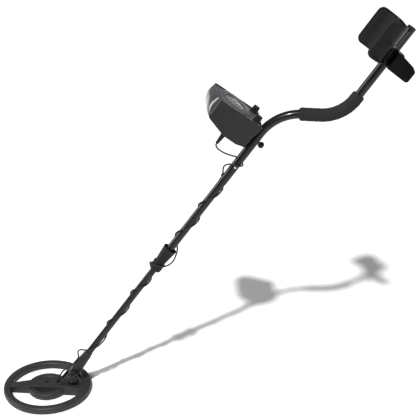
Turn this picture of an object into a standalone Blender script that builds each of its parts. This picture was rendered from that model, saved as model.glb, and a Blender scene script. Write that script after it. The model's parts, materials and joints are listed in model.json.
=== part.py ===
"""Metal detector: a search coil, a telescopic stem with its wound cable, a control box, a foam
grip, an arm cuff and its stand. Metres, +Z up.

Origin: the centre of the search coil's sole. +X runs from the front of the coil to the arm cuff.
The stem climbs along +X at STEM_ANGLE. Stem pieces are laid out in the stem's own frame: its
origin is the coil's tilt pivot, Z runs up the stem, Y is the object's Y and -X is its upper side.
"""

import math

import bmesh
import bpy
from mathutils import Matrix, Vector

# Search coil
RING_OUTER = 0.105
RING_INNER = 0.0875
RING_TOP = 0.0175
CORE_OUTER = 0.048
CORE_INNER = 0.033
CORE_TOP = 0.0160
BAR_TOP = 0.022
BAR_REACH = 0.096
WINDING_BOTTOM = 0.0082
BAR_HALF_WIDTH = 0.020
BAR_TAPER = 0.135
BAR_FALL_START = 0.0835
SOLE_THICKNESS = 0.002
COIL_WALL = 0.0022
UNDERCUT = 0.0035

# Stem
STEM_ANGLE = math.radians(54.0)
PIVOT = Vector((0.062, 0.0, 0.0447))
LOWER_TUBE_D = 0.0156
MIDDLE_TUBE_D = 0.0183
ROD_D = 0.0198
TUBE_WALL = 0.0010
LOWER_TUBE = (0.0303, 0.470)
MIDDLE_TUBE_TOP = 0.700
ROD_START = 0.610
LOCK_START = 0.3462
LOCK_LENGTH = 0.064
BUTTON_AT = 0.6585
CLAMP_AT = 0.7315
CLAMP_SEAT = 0.0108
SCREW_LENGTH = 0.0353

# Rod above the control box: two bends, a nearly level hand grip and the arm stretch
ROD_STRAIGHT_END = 0.7535
GRIP_ANGLE = math.radians(-4.0)
ARM_ANGLE = math.radians(54.8)
LOWER_BEND_R = 0.1025
GRIP_STRAIGHT = 0.040
UPPER_BEND_R = 0.085
ARM_LENGTH = 0.189
GRIP_D = 0.030
GRIP_LENGTH = 0.146
GRIP_BACK_FROM_ARM = 0.012

# Control box, in the stem frame: FACE_AT is its face's height along the stem
FACE_AT = 0.7776
BOX_HALF_WIDTH = 0.055
BOX_WALL = 0.0025
PANEL_SINK = 0.0020
METER_AT = -0.089
OVAL = (1.0, 1.18, 1.0)
KNOB_ROW = -0.034
KNOB_Y = 0.031

# Arm cuff, in the arm frame: origin at the rod's upper end, Z down the rod is negative
CUFF_SPAN = (-0.0925, 0.0)
CUFF_HALF_WIDTH = 0.0575
CUFF_HEIGHT = 0.0655
CUFF_WALL = 0.0030
STAND_SPAN = (-0.094, -0.053)
STAND_TIP_TOP = -0.0615
STAND_DEPTH = 0.0505
STAND_HALF_WIDTH = 0.050
LEG_ROOT = 0.030

# Cable
CABLE_D = 0.0035
GAP = 0.0003


# ---------------------------------------------------------------- scene and shared helpers
for leftover in list(bpy.data.objects):
    bpy.data.objects.remove(leftover, do_unlink=True)

PARTS = bpy.data.collections.new("metal_detector")
CUTTERS = bpy.data.collections.new("cutters")
bpy.context.scene.collection.children.link(PARTS)
bpy.context.scene.collection.children.link(CUTTERS)


def material(name, color, roughness, metallic=0.0):
    made = bpy.data.materials.new(name)
    made.use_nodes = True
    shader = made.node_tree.nodes["Principled BSDF"]
    shader.inputs["Base Color"].default_value = (*color, 1.0)
    shader.inputs["Roughness"].default_value = roughness
    shader.inputs["Metallic"].default_value = metallic
    return made


SHELL_BLACK = material("coil_plastic", (0.030, 0.030, 0.032), 0.45)
TUBE_BLACK = material("tube_paint", (0.016, 0.016, 0.018), 0.25)
BOX_GREY = material("box_plastic", (0.045, 0.046, 0.050), 0.55)
PANEL_GREY = material("panel_paint", (0.12, 0.12, 0.13), 0.40, 0.2)
DARK_PLASTIC = material("dark_plastic", (0.020, 0.020, 0.022), 0.50)
FOAM = material("foam", (0.018, 0.018, 0.019), 0.90)
RUBBER = material("rubber", (0.020, 0.020, 0.020), 0.80)
STEEL = material("steel", (0.60, 0.60, 0.62), 0.30, 1.0)
COPPER = material("copper", (0.72, 0.36, 0.20), 0.35, 1.0)
BOARD = material("board", (0.03, 0.16, 0.08), 0.50)
WINDOW = material("window", (0.75, 0.82, 0.75), 0.08)
DIAL = material("dial", (0.70, 0.74, 0.66), 0.60)
BATTERY = material("battery_wrap", (0.10, 0.10, 0.12), 0.40)

STEM = bpy.data.objects.new("stem_frame", None)
STEM.location = PIVOT
STEM.rotation_euler = (0.0, math.pi / 2 - STEM_ANGLE, 0.0)
PARTS.objects.link(STEM)


def place(name, mesh, look=None, parent=None, loc=(0, 0, 0), rot=(0, 0, 0), smooth=True):
    """Adds an object; one without a material is a cutter."""
    obj = bpy.data.objects.new(name, mesh)
    (PARTS if look else CUTTERS).objects.link(obj)
    obj.parent = parent
    obj.location = loc
    obj.rotation_euler = rot
    if look:
        mesh.materials.append(look)
    else:
        obj.hide_render = True
        obj.display_type = "WIRE"
    if smooth and isinstance(mesh, bpy.types.Mesh):
        mesh.shade_smooth()
        mesh.set_sharp_from_angle(angle=math.radians(35))
    return obj


def bevel(obj, width, segments=2, angle=30):
    rounding = obj.modifiers.new("rounding", "BEVEL")
    rounding.width = width
    rounding.segments = segments
    rounding.limit_method = "ANGLE"
    rounding.angle_limit = math.radians(angle)
    return obj


def boolean(obj, other, operation="DIFFERENCE"):
    step = obj.modifiers.new(operation.lower(), "BOOLEAN")
    step.operation = operation
    step.object = other
    return obj


def box(name, size, look=None, **where):
    mesh = bpy.data.meshes.new(name)
    bm = bmesh.new()
    bmesh.ops.create_cube(bm, size=1.0, matrix=Matrix.Diagonal((*size, 1.0)))
    bm.to_mesh(mesh)
    bm.free()
    return place(name, mesh, look, smooth=False, **where)


def cylinder(name, radius, depth, look=None, top_radius=None, segments=24, **where):
    """A cylinder or cone about its own Z, centred."""
    mesh = bpy.data.meshes.new(name)
    bm = bmesh.new()
    top = radius if top_radius is None else top_radius
    bmesh.ops.create_cone(
        bm, cap_ends=True, segments=segments, radius1=radius, radius2=top, depth=depth
    )
    bm.to_mesh(mesh)
    bm.free()
    return place(name, mesh, look, **where)


def turned(name, profile, look=None, ring=False, steps=32, **where):
    """A turned shape about Z. The profile's (radius, height) points run down its outer side."""
    mesh = bpy.data.meshes.new(name)
    bm = bmesh.new()
    points = [bm.verts.new((radius, 0.0, height)) for radius, height in profile]
    for first, second in zip(points, points[1:]):
        bm.edges.new((first, second))
    if ring:
        bm.edges.new((points[-1], points[0]))
    bm.to_mesh(mesh)
    bm.free()
    obj = place(name, mesh, look, smooth=False, **where)
    screw = obj.modifiers.new("turn", "SCREW")
    screw.steps = steps
    screw.render_steps = steps
    screw.use_merge_vertices = True
    screw.merge_threshold = 0.00001
    return obj


def slab(name, outline, thickness, look=None, **where):
    """A flat outline in its own XY plane, extruded evenly to both sides, as a mesh."""
    curve = bpy.data.curves.new(name, "CURVE")
    curve.dimensions = "2D"
    curve.fill_mode = "BOTH"
    curve.extrude = thickness / 2
    spline = curve.splines.new("POLY")
    spline.points.add(len(outline) - 1)
    for point, (x, y) in zip(spline.points, outline):
        point.co = (x, y, 0.0, 1.0)
    spline.use_cyclic_u = True
    return place(name, mesh_of(curve), look, smooth=False, **where)


def mesh_of(curve):
    """The welded mesh of a curve, which modifiers can then cut."""
    guide = bpy.data.objects.new("guide", curve)
    CUTTERS.objects.link(guide)
    graph = bpy.context.evaluated_depsgraph_get()
    mesh = bpy.data.meshes.new_from_object(guide.evaluated_get(graph))
    bpy.data.objects.remove(guide, do_unlink=True)
    bm = bmesh.new()
    bm.from_mesh(mesh)
    bmesh.ops.remove_doubles(bm, verts=bm.verts, dist=0.00001)
    bmesh.ops.recalc_face_normals(bm, faces=bm.faces)
    bm.to_mesh(mesh)
    bm.free()
    return mesh


def rod_curve(name, points, diameter, caps=True, sides=2):
    curve = bpy.data.curves.new(name, "CURVE")
    curve.dimensions = "3D"
    curve.bevel_depth = diameter / 2
    curve.bevel_resolution = sides
    curve.use_fill_caps = caps
    spline = curve.splines.new("POLY")
    spline.points.add(len(points) - 1)
    for point, place_at in zip(spline.points, points):
        point.co = (*place_at, 1.0)
    return curve


def pipe(name, points, diameter, wall, look, sides=4, **where):
    """An open-ended tube along a line of points."""
    mesh = mesh_of(rod_curve(name, points, diameter, caps=False, sides=sides))
    obj = place(name, mesh, look, **where)
    skin = obj.modifiers.new("wall", "SOLIDIFY")
    skin.thickness = wall
    skin.offset = -1.0
    return obj


def arc(centre, radius, start, end, count):
    """Points on an arc, angles in degrees."""
    angles = [math.radians(start + (end - start) * i / count) for i in range(count + 1)]
    return [(centre[0] + radius * math.cos(a), centre[1] + radius * math.sin(a)) for a in angles]


def rounded_rectangle(half_x, half_y, radius, count=4):
    corners = ((1, 1, 0), (-1, 1, 90), (-1, -1, 180), (1, -1, 270))
    outline = []
    for sign_x, sign_y, start in corners:
        centre = (sign_x * (half_x - radius), sign_y * (half_y - radius))
        outline += arc(centre, radius, start, start + 90, count)
    return outline


def on_stem(s, across=0.0, y=0.0):
    """World point from the stem frame: s up the stem, across its upper side."""
    return STEM_MATRIX @ Vector((-across, y, s))


STEM_MATRIX = Matrix.Translation(PIVOT) @ Matrix.Rotation(math.pi / 2 - STEM_ANGLE, 4, "Y")
SIDEWAYS = (math.pi / 2, 0.0, 0.0)


# ---------------------------------------------------------------- search coil
def ring_profile(inner, outer, top, bottom, rounding):
    return [
        (outer - 2 * rounding, top),
        (outer - 0.6 * rounding, top - 0.35 * rounding),
        (outer, top - 1.3 * rounding),
        (outer, SOLE_THICKNESS + 1.2 * UNDERCUT),
        (outer - UNDERCUT, SOLE_THICKNESS),
        (outer - UNDERCUT, bottom),
        (inner + UNDERCUT, bottom),
        (inner + UNDERCUT, SOLE_THICKNESS),
        (inner, SOLE_THICKNESS + 1.2 * UNDERCUT),
        (inner, top - 1.3 * rounding),
        (inner + 0.6 * rounding, top - 0.35 * rounding),
        (inner + 2 * rounding, top),
    ]


def channel_profile(inner, outer, top):
    wall = COIL_WALL
    ceiling = top - 1.3 * wall
    return [
        (outer - wall, ceiling),
        (outer - wall, SOLE_THICKNESS + 1.5 * UNDERCUT),
        (outer - wall - UNDERCUT, SOLE_THICKNESS + 0.3 * UNDERCUT),
        (outer - wall - UNDERCUT, -0.010),
        (inner + wall + UNDERCUT, -0.010),
        (inner + wall + UNDERCUT, SOLE_THICKNESS + 0.3 * UNDERCUT),
        (inner + wall, SOLE_THICKNESS + 1.5 * UNDERCUT),
        (inner + wall, ceiling),
    ]


def coil_bar(name):
    """The wedge-shaped bridge: wider and taller towards the stem."""
    front = BAR_HALF_WIDTH - BAR_TAPER * BAR_REACH
    rear = BAR_HALF_WIDTH + BAR_TAPER * BAR_REACH
    outline = [(-BAR_REACH, -front), (BAR_REACH, -rear), (BAR_REACH, rear), (-BAR_REACH, front)]
    bar = slab(name, outline, 0.052, loc=(0, 0, BAR_TOP - 0.026))
    slope = math.atan2(BAR_TOP - RING_TOP + 0.0006, 0.088)
    wedge = box(name + "_slope", (0.24, 0.10, 0.02), rot=(0, -slope, 0))
    wedge.location = (-0.120, 0.0, BAR_TOP + 0.010 / math.cos(slope) - math.tan(slope) * 0.117)
    boolean(bar, wedge)
    fall = math.atan2(BAR_TOP - RING_TOP + 0.0012, BAR_REACH - BAR_FALL_START)
    ramp = box(name + "_fall", (0.08, 0.10, 0.04), rot=(0, fall, 0))
    ramp.data.transform(Matrix.Translation((0.04, 0.0, 0.02)))
    ramp.location = (BAR_FALL_START, 0.0, BAR_TOP)
    return boolean(bar, ramp)


def coil_form(name, look):
    """Ring, bridge and inner ring joined, reaching below the sole for a later cut."""
    ring = turned(
        name, ring_profile(RING_INNER, RING_OUTER, RING_TOP, -0.004, 0.003), look, True, 48
    )
    core = turned(
        name + "_core", ring_profile(CORE_INNER, CORE_OUTER, CORE_TOP, -0.002, 0.002), None, True, 32
    )
    boolean(ring, coil_bar(name + "_bar"), "UNION")
    return boolean(ring, core, "UNION")


def build_coil():
    shell = coil_form("coil_shell", SHELL_BLACK)
    below = box("below_shell", (0.3, 0.3, 0.1))
    below.location = (0, 0, SOLE_THICKNESS + GAP - 0.05)
    outer_channel = turned(
        "outer_channel", channel_profile(RING_INNER, RING_OUTER, RING_TOP), None, True, 48
    )
    inner_channel = turned(
        "inner_channel", channel_profile(CORE_INNER, CORE_OUTER, CORE_TOP), None, True, 32
    )
    recess = cylinder("centre_recess", 0.0055, 0.010, loc=(0, 0, BAR_TOP), segments=16)
    for cutter in (below, outer_channel, inner_channel, recess):
        boolean(shell, cutter)
    sole = coil_form("coil_sole", DARK_PLASTIC)
    sheet = box("sole_sheet", (0.3, 0.3, SOLE_THICKNESS), loc=(0, 0, SOLE_THICKNESS / 2))
    boolean(sole, sheet, "INTERSECT")
    for name, inner, outer, top, steps in (
        ("transmit_winding", RING_INNER, RING_OUTER, 0.0130, 48),
        ("receive_winding", CORE_INNER, CORE_OUTER, 0.0115, 32),
    ):
        inset = COIL_WALL + 0.0008
        section = [
            (outer - inset, top),
            (outer - inset, WINDING_BOTTOM),
            (inner + inset, WINDING_BOTTOM),
            (inner + inset, top),
        ]
        turned(name, section, COPPER, True, steps)


EAR_INNER = 0.0093
EAR_OUTER = 0.0143
BRACKET_BOTTOM = BAR_TOP + GAP
TONGUE_HALF = 0.0070
BOLT_SHANK = 0.0412


def build_bracket():
    """Two ears on a base, which hold the stem's tip."""
    eye = arc((PIVOT.x, PIVOT.z), 0.0115, 140, 20, 8)
    outline = [(0.030, BRACKET_BOTTOM), *eye, (0.084, BRACKET_BOTTOM)]
    outline = [(x - PIVOT.x, z - PIVOT.z) for x, z in outline]
    ears = slab("coil_bracket", outline, 2 * EAR_OUTER, SHELL_BLACK, loc=PIVOT, rot=SIDEWAYS)
    slot = box("ear_slot", (0.1, 2 * EAR_INNER, 0.06))
    slot.location = (PIVOT.x, 0, BRACKET_BOTTOM + 0.0035 + 0.03)
    boolean(ears, slot)
    boolean(ears, cylinder("ear_hole", 0.0042, 0.1, loc=PIVOT, rot=SIDEWAYS, segments=16))


def build_clevis():
    """Bolt, washers and wing knob on the tilt axis."""
    head = cylinder("clevis_bolt", 0.0075, 0.005, DARK_PLASTIC, segments=6, loc=PIVOT, rot=SIDEWAYS)
    head.data.transform(Matrix.Translation((0, 0, -(EAR_OUTER + GAP + 0.0025))))
    shank = cylinder("bolt_shank", 0.0039, BOLT_SHANK, loc=PIVOT, rot=SIDEWAYS, segments=16)
    shank.data.transform(Matrix.Translation((0, 0, -(EAR_OUTER + 0.002) + BOLT_SHANK / 2)))
    boolean(head, shank, "UNION")
    for side, name in ((-1, "washer_near"), (1, "washer_far")):
        middle = side * (TONGUE_HALF + EAR_INNER) / 2
        thickness = (EAR_INNER - TONGUE_HALF) - 2 * GAP
        section = [
            (0.0095, thickness / 2),
            (0.0095, -thickness / 2),
            (0.0043, -thickness / 2),
            (0.0043, thickness / 2),
        ]
        turned(name, section, RUBBER, True, 20, loc=PIVOT + Vector((0, middle, 0)), rot=SIDEWAYS)
    build_clevis_knob()


def build_clevis_knob():
    base = EAR_OUTER + GAP
    depth = 0.0135
    knob = cylinder("clevis_knob", 0.0095, depth, DARK_PLASTIC, segments=20, loc=PIVOT, rot=SIDEWAYS)
    knob.data.transform(Matrix.Translation((0, 0, base + depth / 2)))
    wings = slab("knob_wings", rounded_rectangle(0.0140, 0.0034, 0.0030, 3), 0.0085)
    wings.data.transform(Matrix.Translation((0, 0, base + 0.0092)))
    wings.location = PIVOT
    wings.rotation_euler = (math.pi / 2, math.radians(-25), 0)
    boolean(knob, wings, "UNION")
    bore = cylinder("knob_bore", 0.0042, 0.0125, loc=PIVOT, rot=SIDEWAYS, segments=16)
    bore.data.transform(Matrix.Translation((0, 0, base - 0.001 + 0.0125 / 2)))
    boolean(knob, bore)


GLAND_FOOT = Vector((0.0225, 0.0, BAR_TOP + GAP))
GLAND_TILT = math.radians(24)
GLAND_LENGTH = 0.015


def build_gland():
    profile = [
        (0.0, GLAND_LENGTH),
        (0.0026, GLAND_LENGTH),
        (0.0040, 0.0055),
        (0.0058, 0.0050),
        (0.0058, 0.0028),
        (0.0, 0.0028),
    ]
    turned("cable_gland", profile, RUBBER, steps=16, loc=GLAND_FOOT, rot=(0, GLAND_TILT, 0))


# ---------------------------------------------------------------- lower stem
def build_lower_stem():
    tip = turned(
        "stem_tip",
        [
            (LOWER_TUBE_D / 2 + 0.0008, 0.074),
            (0.0106, 0.062),
            (0.0124, 0.034),
            (0.0124, 0.020),
            (0.0085, 0.010),
            (0.0, 0.010),
            (0.0, LOWER_TUBE[0] - GAP),
            (LOWER_TUBE_D / 2 + GAP, LOWER_TUBE[0] - GAP),
            (LOWER_TUBE_D / 2 + GAP, 0.074),
        ],
        DARK_PLASTIC,
        True,
        28,
        parent=STEM,
    )
    eye = cylinder("tip_eye", 0.0108, 2 * TONGUE_HALF, parent=STEM, rot=SIDEWAYS)
    neck = box("tip_neck", (0.0206, 2 * TONGUE_HALF - 0.0004, 0.018), parent=STEM, loc=(0, 0, 0.009))
    boolean(tip, eye, "UNION")
    boolean(tip, neck, "UNION")
    boolean(tip, cylinder("tip_hole", 0.0043, 0.05, parent=STEM, rot=SIDEWAYS, segments=16))
    ends = [(0, 0, LOWER_TUBE[0]), (0, 0, LOWER_TUBE[1])]
    pipe("lower_tube", ends, LOWER_TUBE_D, TUBE_WALL, TUBE_BLACK, parent=STEM)


# ---------------------------------------------------------------- twist lock and middle tube
NUT_LENGTH = 0.0225


def build_lock():
    """The collar at the bottom turns on the collet's thread and squeezes it onto the tube."""
    start = LOCK_START
    bore = LOWER_TUBE_D / 2 + 0.0004
    turned(
        "lock_nut",
        [
            (0.0135, start + NUT_LENGTH),
            (0.0146, start + NUT_LENGTH - 0.0012),
            (0.0146, start + 0.0025),
            (0.0132, start),
            (bore, start),
            (bore, start + 0.0040),
            (0.0113, start + 0.0040),
            (0.0113, start + NUT_LENGTH),
        ],
        DARK_PLASTIC,
        True,
        28,
        parent=STEM,
    )
    collet = turned(
        "lock_collet",
        [
            (0.0109, start + NUT_LENGTH - 0.0015),
            (0.0109, start + 0.0068),
            (0.0092, start + 0.0045),
            (bore, start + 0.0045),
            (bore, start + NUT_LENGTH - 0.0015),
        ],
        DARK_PLASTIC,
        True,
        24,
        parent=STEM,
    )
    slit = box("collet_slit", (0.02, 0.0015, 0.05), parent=STEM, loc=(0.010, 0, start + 0.012))
    boolean(collet, slit)
    outer = MIDDLE_TUBE_D / 2 + GAP
    top = start + LOCK_LENGTH
    turned(
        "lock_sleeve",
        [
            (0.0163, top),
            (0.0160, top - 0.003),
            (0.0124, start + NUT_LENGTH + 0.004),
            (0.0124, start + NUT_LENGTH + GAP),
            (outer, start + NUT_LENGTH + GAP),
            (outer, top - 0.010),
            (0.0140, top - 0.008),
            (0.0148, top),
        ],
        DARK_PLASTIC,
        True,
        28,
        parent=STEM,
    )
    ends = [(0, 0, start + NUT_LENGTH - 0.0012 + GAP), (0, 0, MIDDLE_TUBE_TOP)]
    tube = pipe("middle_tube", ends, MIDDLE_TUBE_D, TUBE_WALL, TUBE_BLACK, parent=STEM)
    boolean(tube, button_hole("middle_hole"))


def button_hole(name):
    return cylinder(
        name, 0.0034, 0.012, parent=STEM, loc=(0, -0.010, BUTTON_AT), rot=SIDEWAYS, segments=12
    )


def build_snap_button():
    """A sprung button through the rod's and the middle tube's holes."""
    profile = [(0.0, 0.0016), (0.0020, 0.0012), (0.0030, 0.0), (0.0030, -0.0032), (0.0, -0.0032)]
    turned(
        "snap_button",
        profile,
        STEEL,
        steps=14,
        parent=STEM,
        loc=(0, -ROD_D / 2, BUTTON_AT),
        rot=SIDEWAYS,
    )
    leaf = [(0.0, -0.0063, BUTTON_AT + 0.006)]
    leaf += [(0.0, -0.0060, BUTTON_AT - 0.004), (0.0, -0.004, BUTTON_AT - 0.018)]
    leaf += [(0.0, 0.0, BUTTON_AT - 0.024), (0.0, 0.004, BUTTON_AT - 0.018)]
    leaf += [(0.0, 0.0068, BUTTON_AT - 0.004), (0.0, 0.0070, BUTTON_AT + 0.004)]
    place("snap_spring", mesh_of(rod_curve("snap_spring", leaf, 0.0010)), STEEL, parent=STEM)


# ---------------------------------------------------------------- S-shaped rod
def rod_line():
    """World points along the rod's centre."""
    start = on_stem(ROD_START)
    bend_start = on_stem(ROD_STRAIGHT_END)
    points = [start, on_stem(ROD_START + 0.07), bend_start]
    lower = bend(bend_start, STEM_ANGLE, GRIP_ANGLE, LOWER_BEND_R, 10)
    points += lower
    level_end = lower[-1] + heading(GRIP_ANGLE) * GRIP_STRAIGHT
    points.append(level_end)
    upper = bend(level_end, GRIP_ANGLE, ARM_ANGLE, UPPER_BEND_R, 10)
    points += upper
    points.append(upper[-1] + heading(ARM_ANGLE) * ARM_LENGTH)
    return points


def heading(angle):
    return Vector((math.cos(angle), 0.0, math.sin(angle)))


def bend(start, first, last, radius, count):
    """Points after start on an arc that turns the heading from first to last."""
    turn = 1 if last > first else -1
    side = Vector((-math.sin(first), 0.0, math.cos(first))) * turn
    centre = start + side * radius
    points = []
    for step in range(1, count + 1):
        angle = first + (last - first) * step / count
        outward = Vector((math.sin(angle), 0.0, -math.cos(angle))) * turn
        points.append(centre + outward * radius)
    return points


ROD_POINTS = rod_line()

ARM = bpy.data.objects.new("arm_frame", None)
ARM.location = ROD_POINTS[-1]
ARM.rotation_euler = (0.0, math.pi / 2 - ARM_ANGLE, 0.0)
PARTS.objects.link(ARM)


def build_rod():
    rod = pipe("s_rod", ROD_POINTS, ROD_D, 0.0007, TUBE_BLACK)
    boolean(rod, button_hole("rod_button_hole"))
    screw_hole = cylinder(
        "rod_screw_hole", 0.0030, 0.06, parent=STEM, loc=(0, 0, CLAMP_AT), rot=(0, math.pi / 2, 0)
    )
    boolean(rod, screw_hole)
    bolt_holes(rod, 0.0029)
    cap = [
        (0.0, 0.0040),
        (0.0080, 0.0040),
        (0.0101, 0.0022),
        (0.0101, GAP),
        (0.0088, GAP),
        (0.0088, -0.012),
        (0.0, -0.012),
    ]
    turned("rod_end_cap", cap, RUBBER, steps=24, parent=ARM)


def along(points, start, length, count):
    """Points spaced evenly by distance along a line of points."""
    marks = [start + length * i / count for i in range(count + 1)]
    spots = []
    travelled = 0.0
    for first, second in zip(points, points[1:]):
        reach = (second - first).length
        while marks and travelled + reach >= marks[0]:
            spots.append(first.lerp(second, (marks.pop(0) - travelled) / reach))
        travelled += reach
    return spots


def build_grip():
    total = sum((b - a).length for a, b in zip(ROD_POINTS, ROD_POINTS[1:]))
    start = total - ARM_LENGTH - GRIP_LENGTH + GRIP_BACK_FROM_ARM
    line = along(ROD_POINTS, start, GRIP_LENGTH, 16)
    pipe("foam_grip", line, GRIP_D, GRIP_D / 2 - ROD_D / 2 - 0.0005, FOAM)


# ---------------------------------------------------------------- control box
def side_outline(inset=0.0, top=FACE_AT):
    """The box's side view in the stem frame, x towards the stem's underside."""
    return [
        (-0.0185 - inset, top),
        (-0.0285 - inset, 0.7250 + inset),
        (-0.0350 - inset, 0.7185 + inset),
        (-0.0460, 0.7156 + inset),
        (-0.0745, 0.7160 + inset),
        (-0.0930, 0.7205 + inset),
        (-0.1250 + inset * 0.5, 0.7308 + inset),
        (-0.1370 + inset, 0.7375 + inset * 0.5),
        (-0.1425 + inset, 0.7480),
        (-0.1445 + inset, 0.7610),
        (-0.1410 + inset, top),
    ]


def plan_outline(inset=0.0):
    """The box seen from its face: square by the stem, rounded and bowed at the front."""
    half = BOX_HALF_WIDTH - inset
    right = -0.015 - inset
    outline = arc((right - 0.010, half - 0.010), 0.010, 0, 90, 3)
    outline += arc((-0.1275 + inset, half - 0.012), 0.012, 90, 150, 3)
    outline += [(-0.1418 + inset, 0.030), (-0.1438 + inset, 0.015), (-0.1445 + inset, 0.0)]
    outline += [(-0.1438 + inset, -0.015), (-0.1418 + inset, -0.030)]
    outline += arc((-0.1275 + inset, -half + 0.012), 0.012, 210, 270, 3)
    outline += arc((right - 0.010, -half + 0.010), 0.010, 270, 360, 3)
    return outline


def box_form(name, look=None, inset=0.0, top=FACE_AT):
    """The box's solid form: its side view and its plan, intersected."""
    side = slab(name, side_outline(inset, top), 2 * (BOX_HALF_WIDTH - inset) + 0.01, look,
                parent=STEM, rot=SIDEWAYS)
    plan = slab(name + "_plan", plan_outline(inset), 0.2, parent=STEM, loc=(0, 0, 0.72))
    return boolean(side, plan, "INTERSECT")


COVER_SEAM = -0.1285


def build_box():
    cavity = box_form("box_cavity", None, BOX_WALL, FACE_AT + 0.01)
    front = box("front_block", (0.05, 0.2, 0.2), parent=STEM, loc=(COVER_SEAM - 0.025, 0, 0.72))
    rest = box(
        "rear_block", (0.2, 0.2, 0.2), parent=STEM, loc=(COVER_SEAM + GAP + 0.1, 0, 0.72)
    )
    shell = box_form("box_shell", BOX_GREY)
    boolean(shell, cavity)
    boolean(shell, rest, "INTERSECT")
    boolean(shell, socket_hole())
    cover = box_form("battery_cover", BOX_GREY)
    boolean(cover, cavity)
    boolean(cover, front, "INTERSECT")


SOCKET_X = -0.0650
SOCKET_Z = 0.7163


def socket_hole():
    return cylinder(
        "socket_hole", 0.0062, 0.02, parent=STEM, loc=(SOCKET_X, 0, SOCKET_Z), segments=16
    )


def build_face():
    """Panel, oval bezel, window, dial and needle of the meter."""
    top = FACE_AT - PANEL_SINK
    outline = plan_outline(BOX_WALL + GAP)
    outline = [(max(x, -0.1375), y) for x, y in outline]
    outline = [(min(x, -0.0238), y) for x, y in outline]
    panel = slab("face_panel", outline, 0.0020, PANEL_GREY, parent=STEM, loc=(0, 0, top - 0.001))
    holes = [
        cylinder("meter_hole", 0.0235, 0.02, parent=STEM, loc=(METER_AT, 0, top)),
        cylinder("knob_hole_far", 0.0032, 0.02, parent=STEM, loc=(KNOB_ROW, KNOB_Y, top)),
        cylinder("knob_hole_near", 0.0032, 0.02, parent=STEM, loc=(KNOB_ROW, -KNOB_Y, top)),
        cylinder("toggle_hole", 0.0032, 0.02, parent=STEM, loc=(TOGGLE_X, 0, top)),
    ]
    for hole in holes:
        boolean(panel, hole)
    rim = [
        (0.0285, 0.0045),
        (0.0388, 0.0040),
        (0.0413, 0.0022),
        (0.0418, 0.0),
        (0.0250, 0.0),
        (0.0250, 0.0035),
        (0.0262, 0.0045),
    ]
    turned("meter_bezel", rim, PANEL_GREY, True, 32, parent=STEM,
           loc=(METER_AT, 0, top + GAP)).scale = OVAL
    glass = [(0.0, 0.0032), (0.0150, 0.0028), (0.0244, 0.0016), (0.0244, 0.0004), (0.0, 0.0004)]
    turned("meter_window", glass, WINDOW, steps=32, parent=STEM,
           loc=(METER_AT, 0, top + GAP)).scale = OVAL
    slab("meter_dial", rounded_rectangle(0.0215, 0.0300, 0.004, 3), 0.0008, DIAL, parent=STEM,
         loc=(METER_AT, 0, top - 0.0038))


TOGGLE_X = -0.0292
NEEDLE_LENGTH = 0.026
NEEDLE_PIVOT = METER_AT + 0.0165


def build_meter():
    """The movement under the dial, and its needle just above the dial."""
    top = FACE_AT - PANEL_SINK
    body = box("meter_movement", (0.026, 0.030, 0.016), DARK_PLASTIC, parent=STEM,
               loc=(METER_AT + 0.006, 0, top - 0.0133))
    bevel(body, 0.0015, 1)
    needle = box("meter_needle", (NEEDLE_LENGTH, 0.0009, 0.0006), DARK_PLASTIC, parent=STEM,
                 loc=(NEEDLE_PIVOT, 0, top - 0.0024))
    needle.data.transform(Matrix.Translation((-NEEDLE_LENGTH / 2 + 0.003, 0, 0)))
    needle.rotation_euler = (0, 0, NEEDLE_REST)
    hub = cylinder("needle_hub", 0.0024, 0.0016, parent=STEM, segments=14,
                   loc=(NEEDLE_PIVOT, 0, top - 0.0024))
    boolean(needle, hub, "UNION")


NEEDLE_REST = math.radians(-38)


def build_controls():
    top = FACE_AT - PANEL_SINK
    for side, name in ((1, "sensitivity_knob"), (-1, "mode_knob")):
        place_at = (KNOB_ROW, side * KNOB_Y, top + 0.0006)
        knob = turned(
            name,
            [
                (0.0, 0.0155),
                (0.0068, 0.0155),
                (0.0076, 0.0147),
                (0.0082, 0.0030),
                (0.0092, 0.0),
                (0.0, 0.0),
            ],
            DARK_PLASTIC,
            steps=20,
            parent=STEM,
            loc=place_at,
        )
        bore = cylinder(name + "_bore", 0.00315, 0.020, parent=STEM, segments=12)
        bore.location = (KNOB_ROW, side * KNOB_Y, top + 0.0006)
        boolean(knob, bore)
        turned(
            name.replace("knob", "pot"),
            [
                (0.0, 0.0088),
                (0.0029, 0.0088),
                (0.0029, -0.0030),
                (0.0080, -0.0030),
                (0.0080, -0.0110),
                (0.0, -0.0110),
            ],
            STEEL,
            steps=16,
            parent=STEM,
            loc=(KNOB_ROW, side * KNOB_Y, top),
        )
    build_toggle(top)


def build_toggle(top):
    turned(
        "toggle_switch",
        [
            (0.0028, 0.0050),
            (0.0028, -0.0030),
            (0.0042, -0.0030),
            (0.0042, -0.0120),
            (0.0, -0.0120),
            (0.0, -0.0020),
            (0.0018, 0.0),
            (0.0022, 0.0050),
        ],
        STEEL,
        True,
        16,
        parent=STEM,
        loc=(TOGGLE_X, 0, top),
    )
    lever = turned(
        "toggle_lever",
        [
            (0.0, 0.0125),
            (0.0017, 0.0118),
            (0.0019, 0.0100),
            (0.0010, 0.0015),
            (0.0010, 0.0),
            (0.0, -0.0005),
        ],
        STEEL,
        steps=12,
        parent=STEM,
        loc=(TOGGLE_X, 0, top + 0.0012),
    )
    lever.rotation_euler = (0, TOGGLE_REST, 0)


TOGGLE_REST = math.radians(-8)


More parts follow.
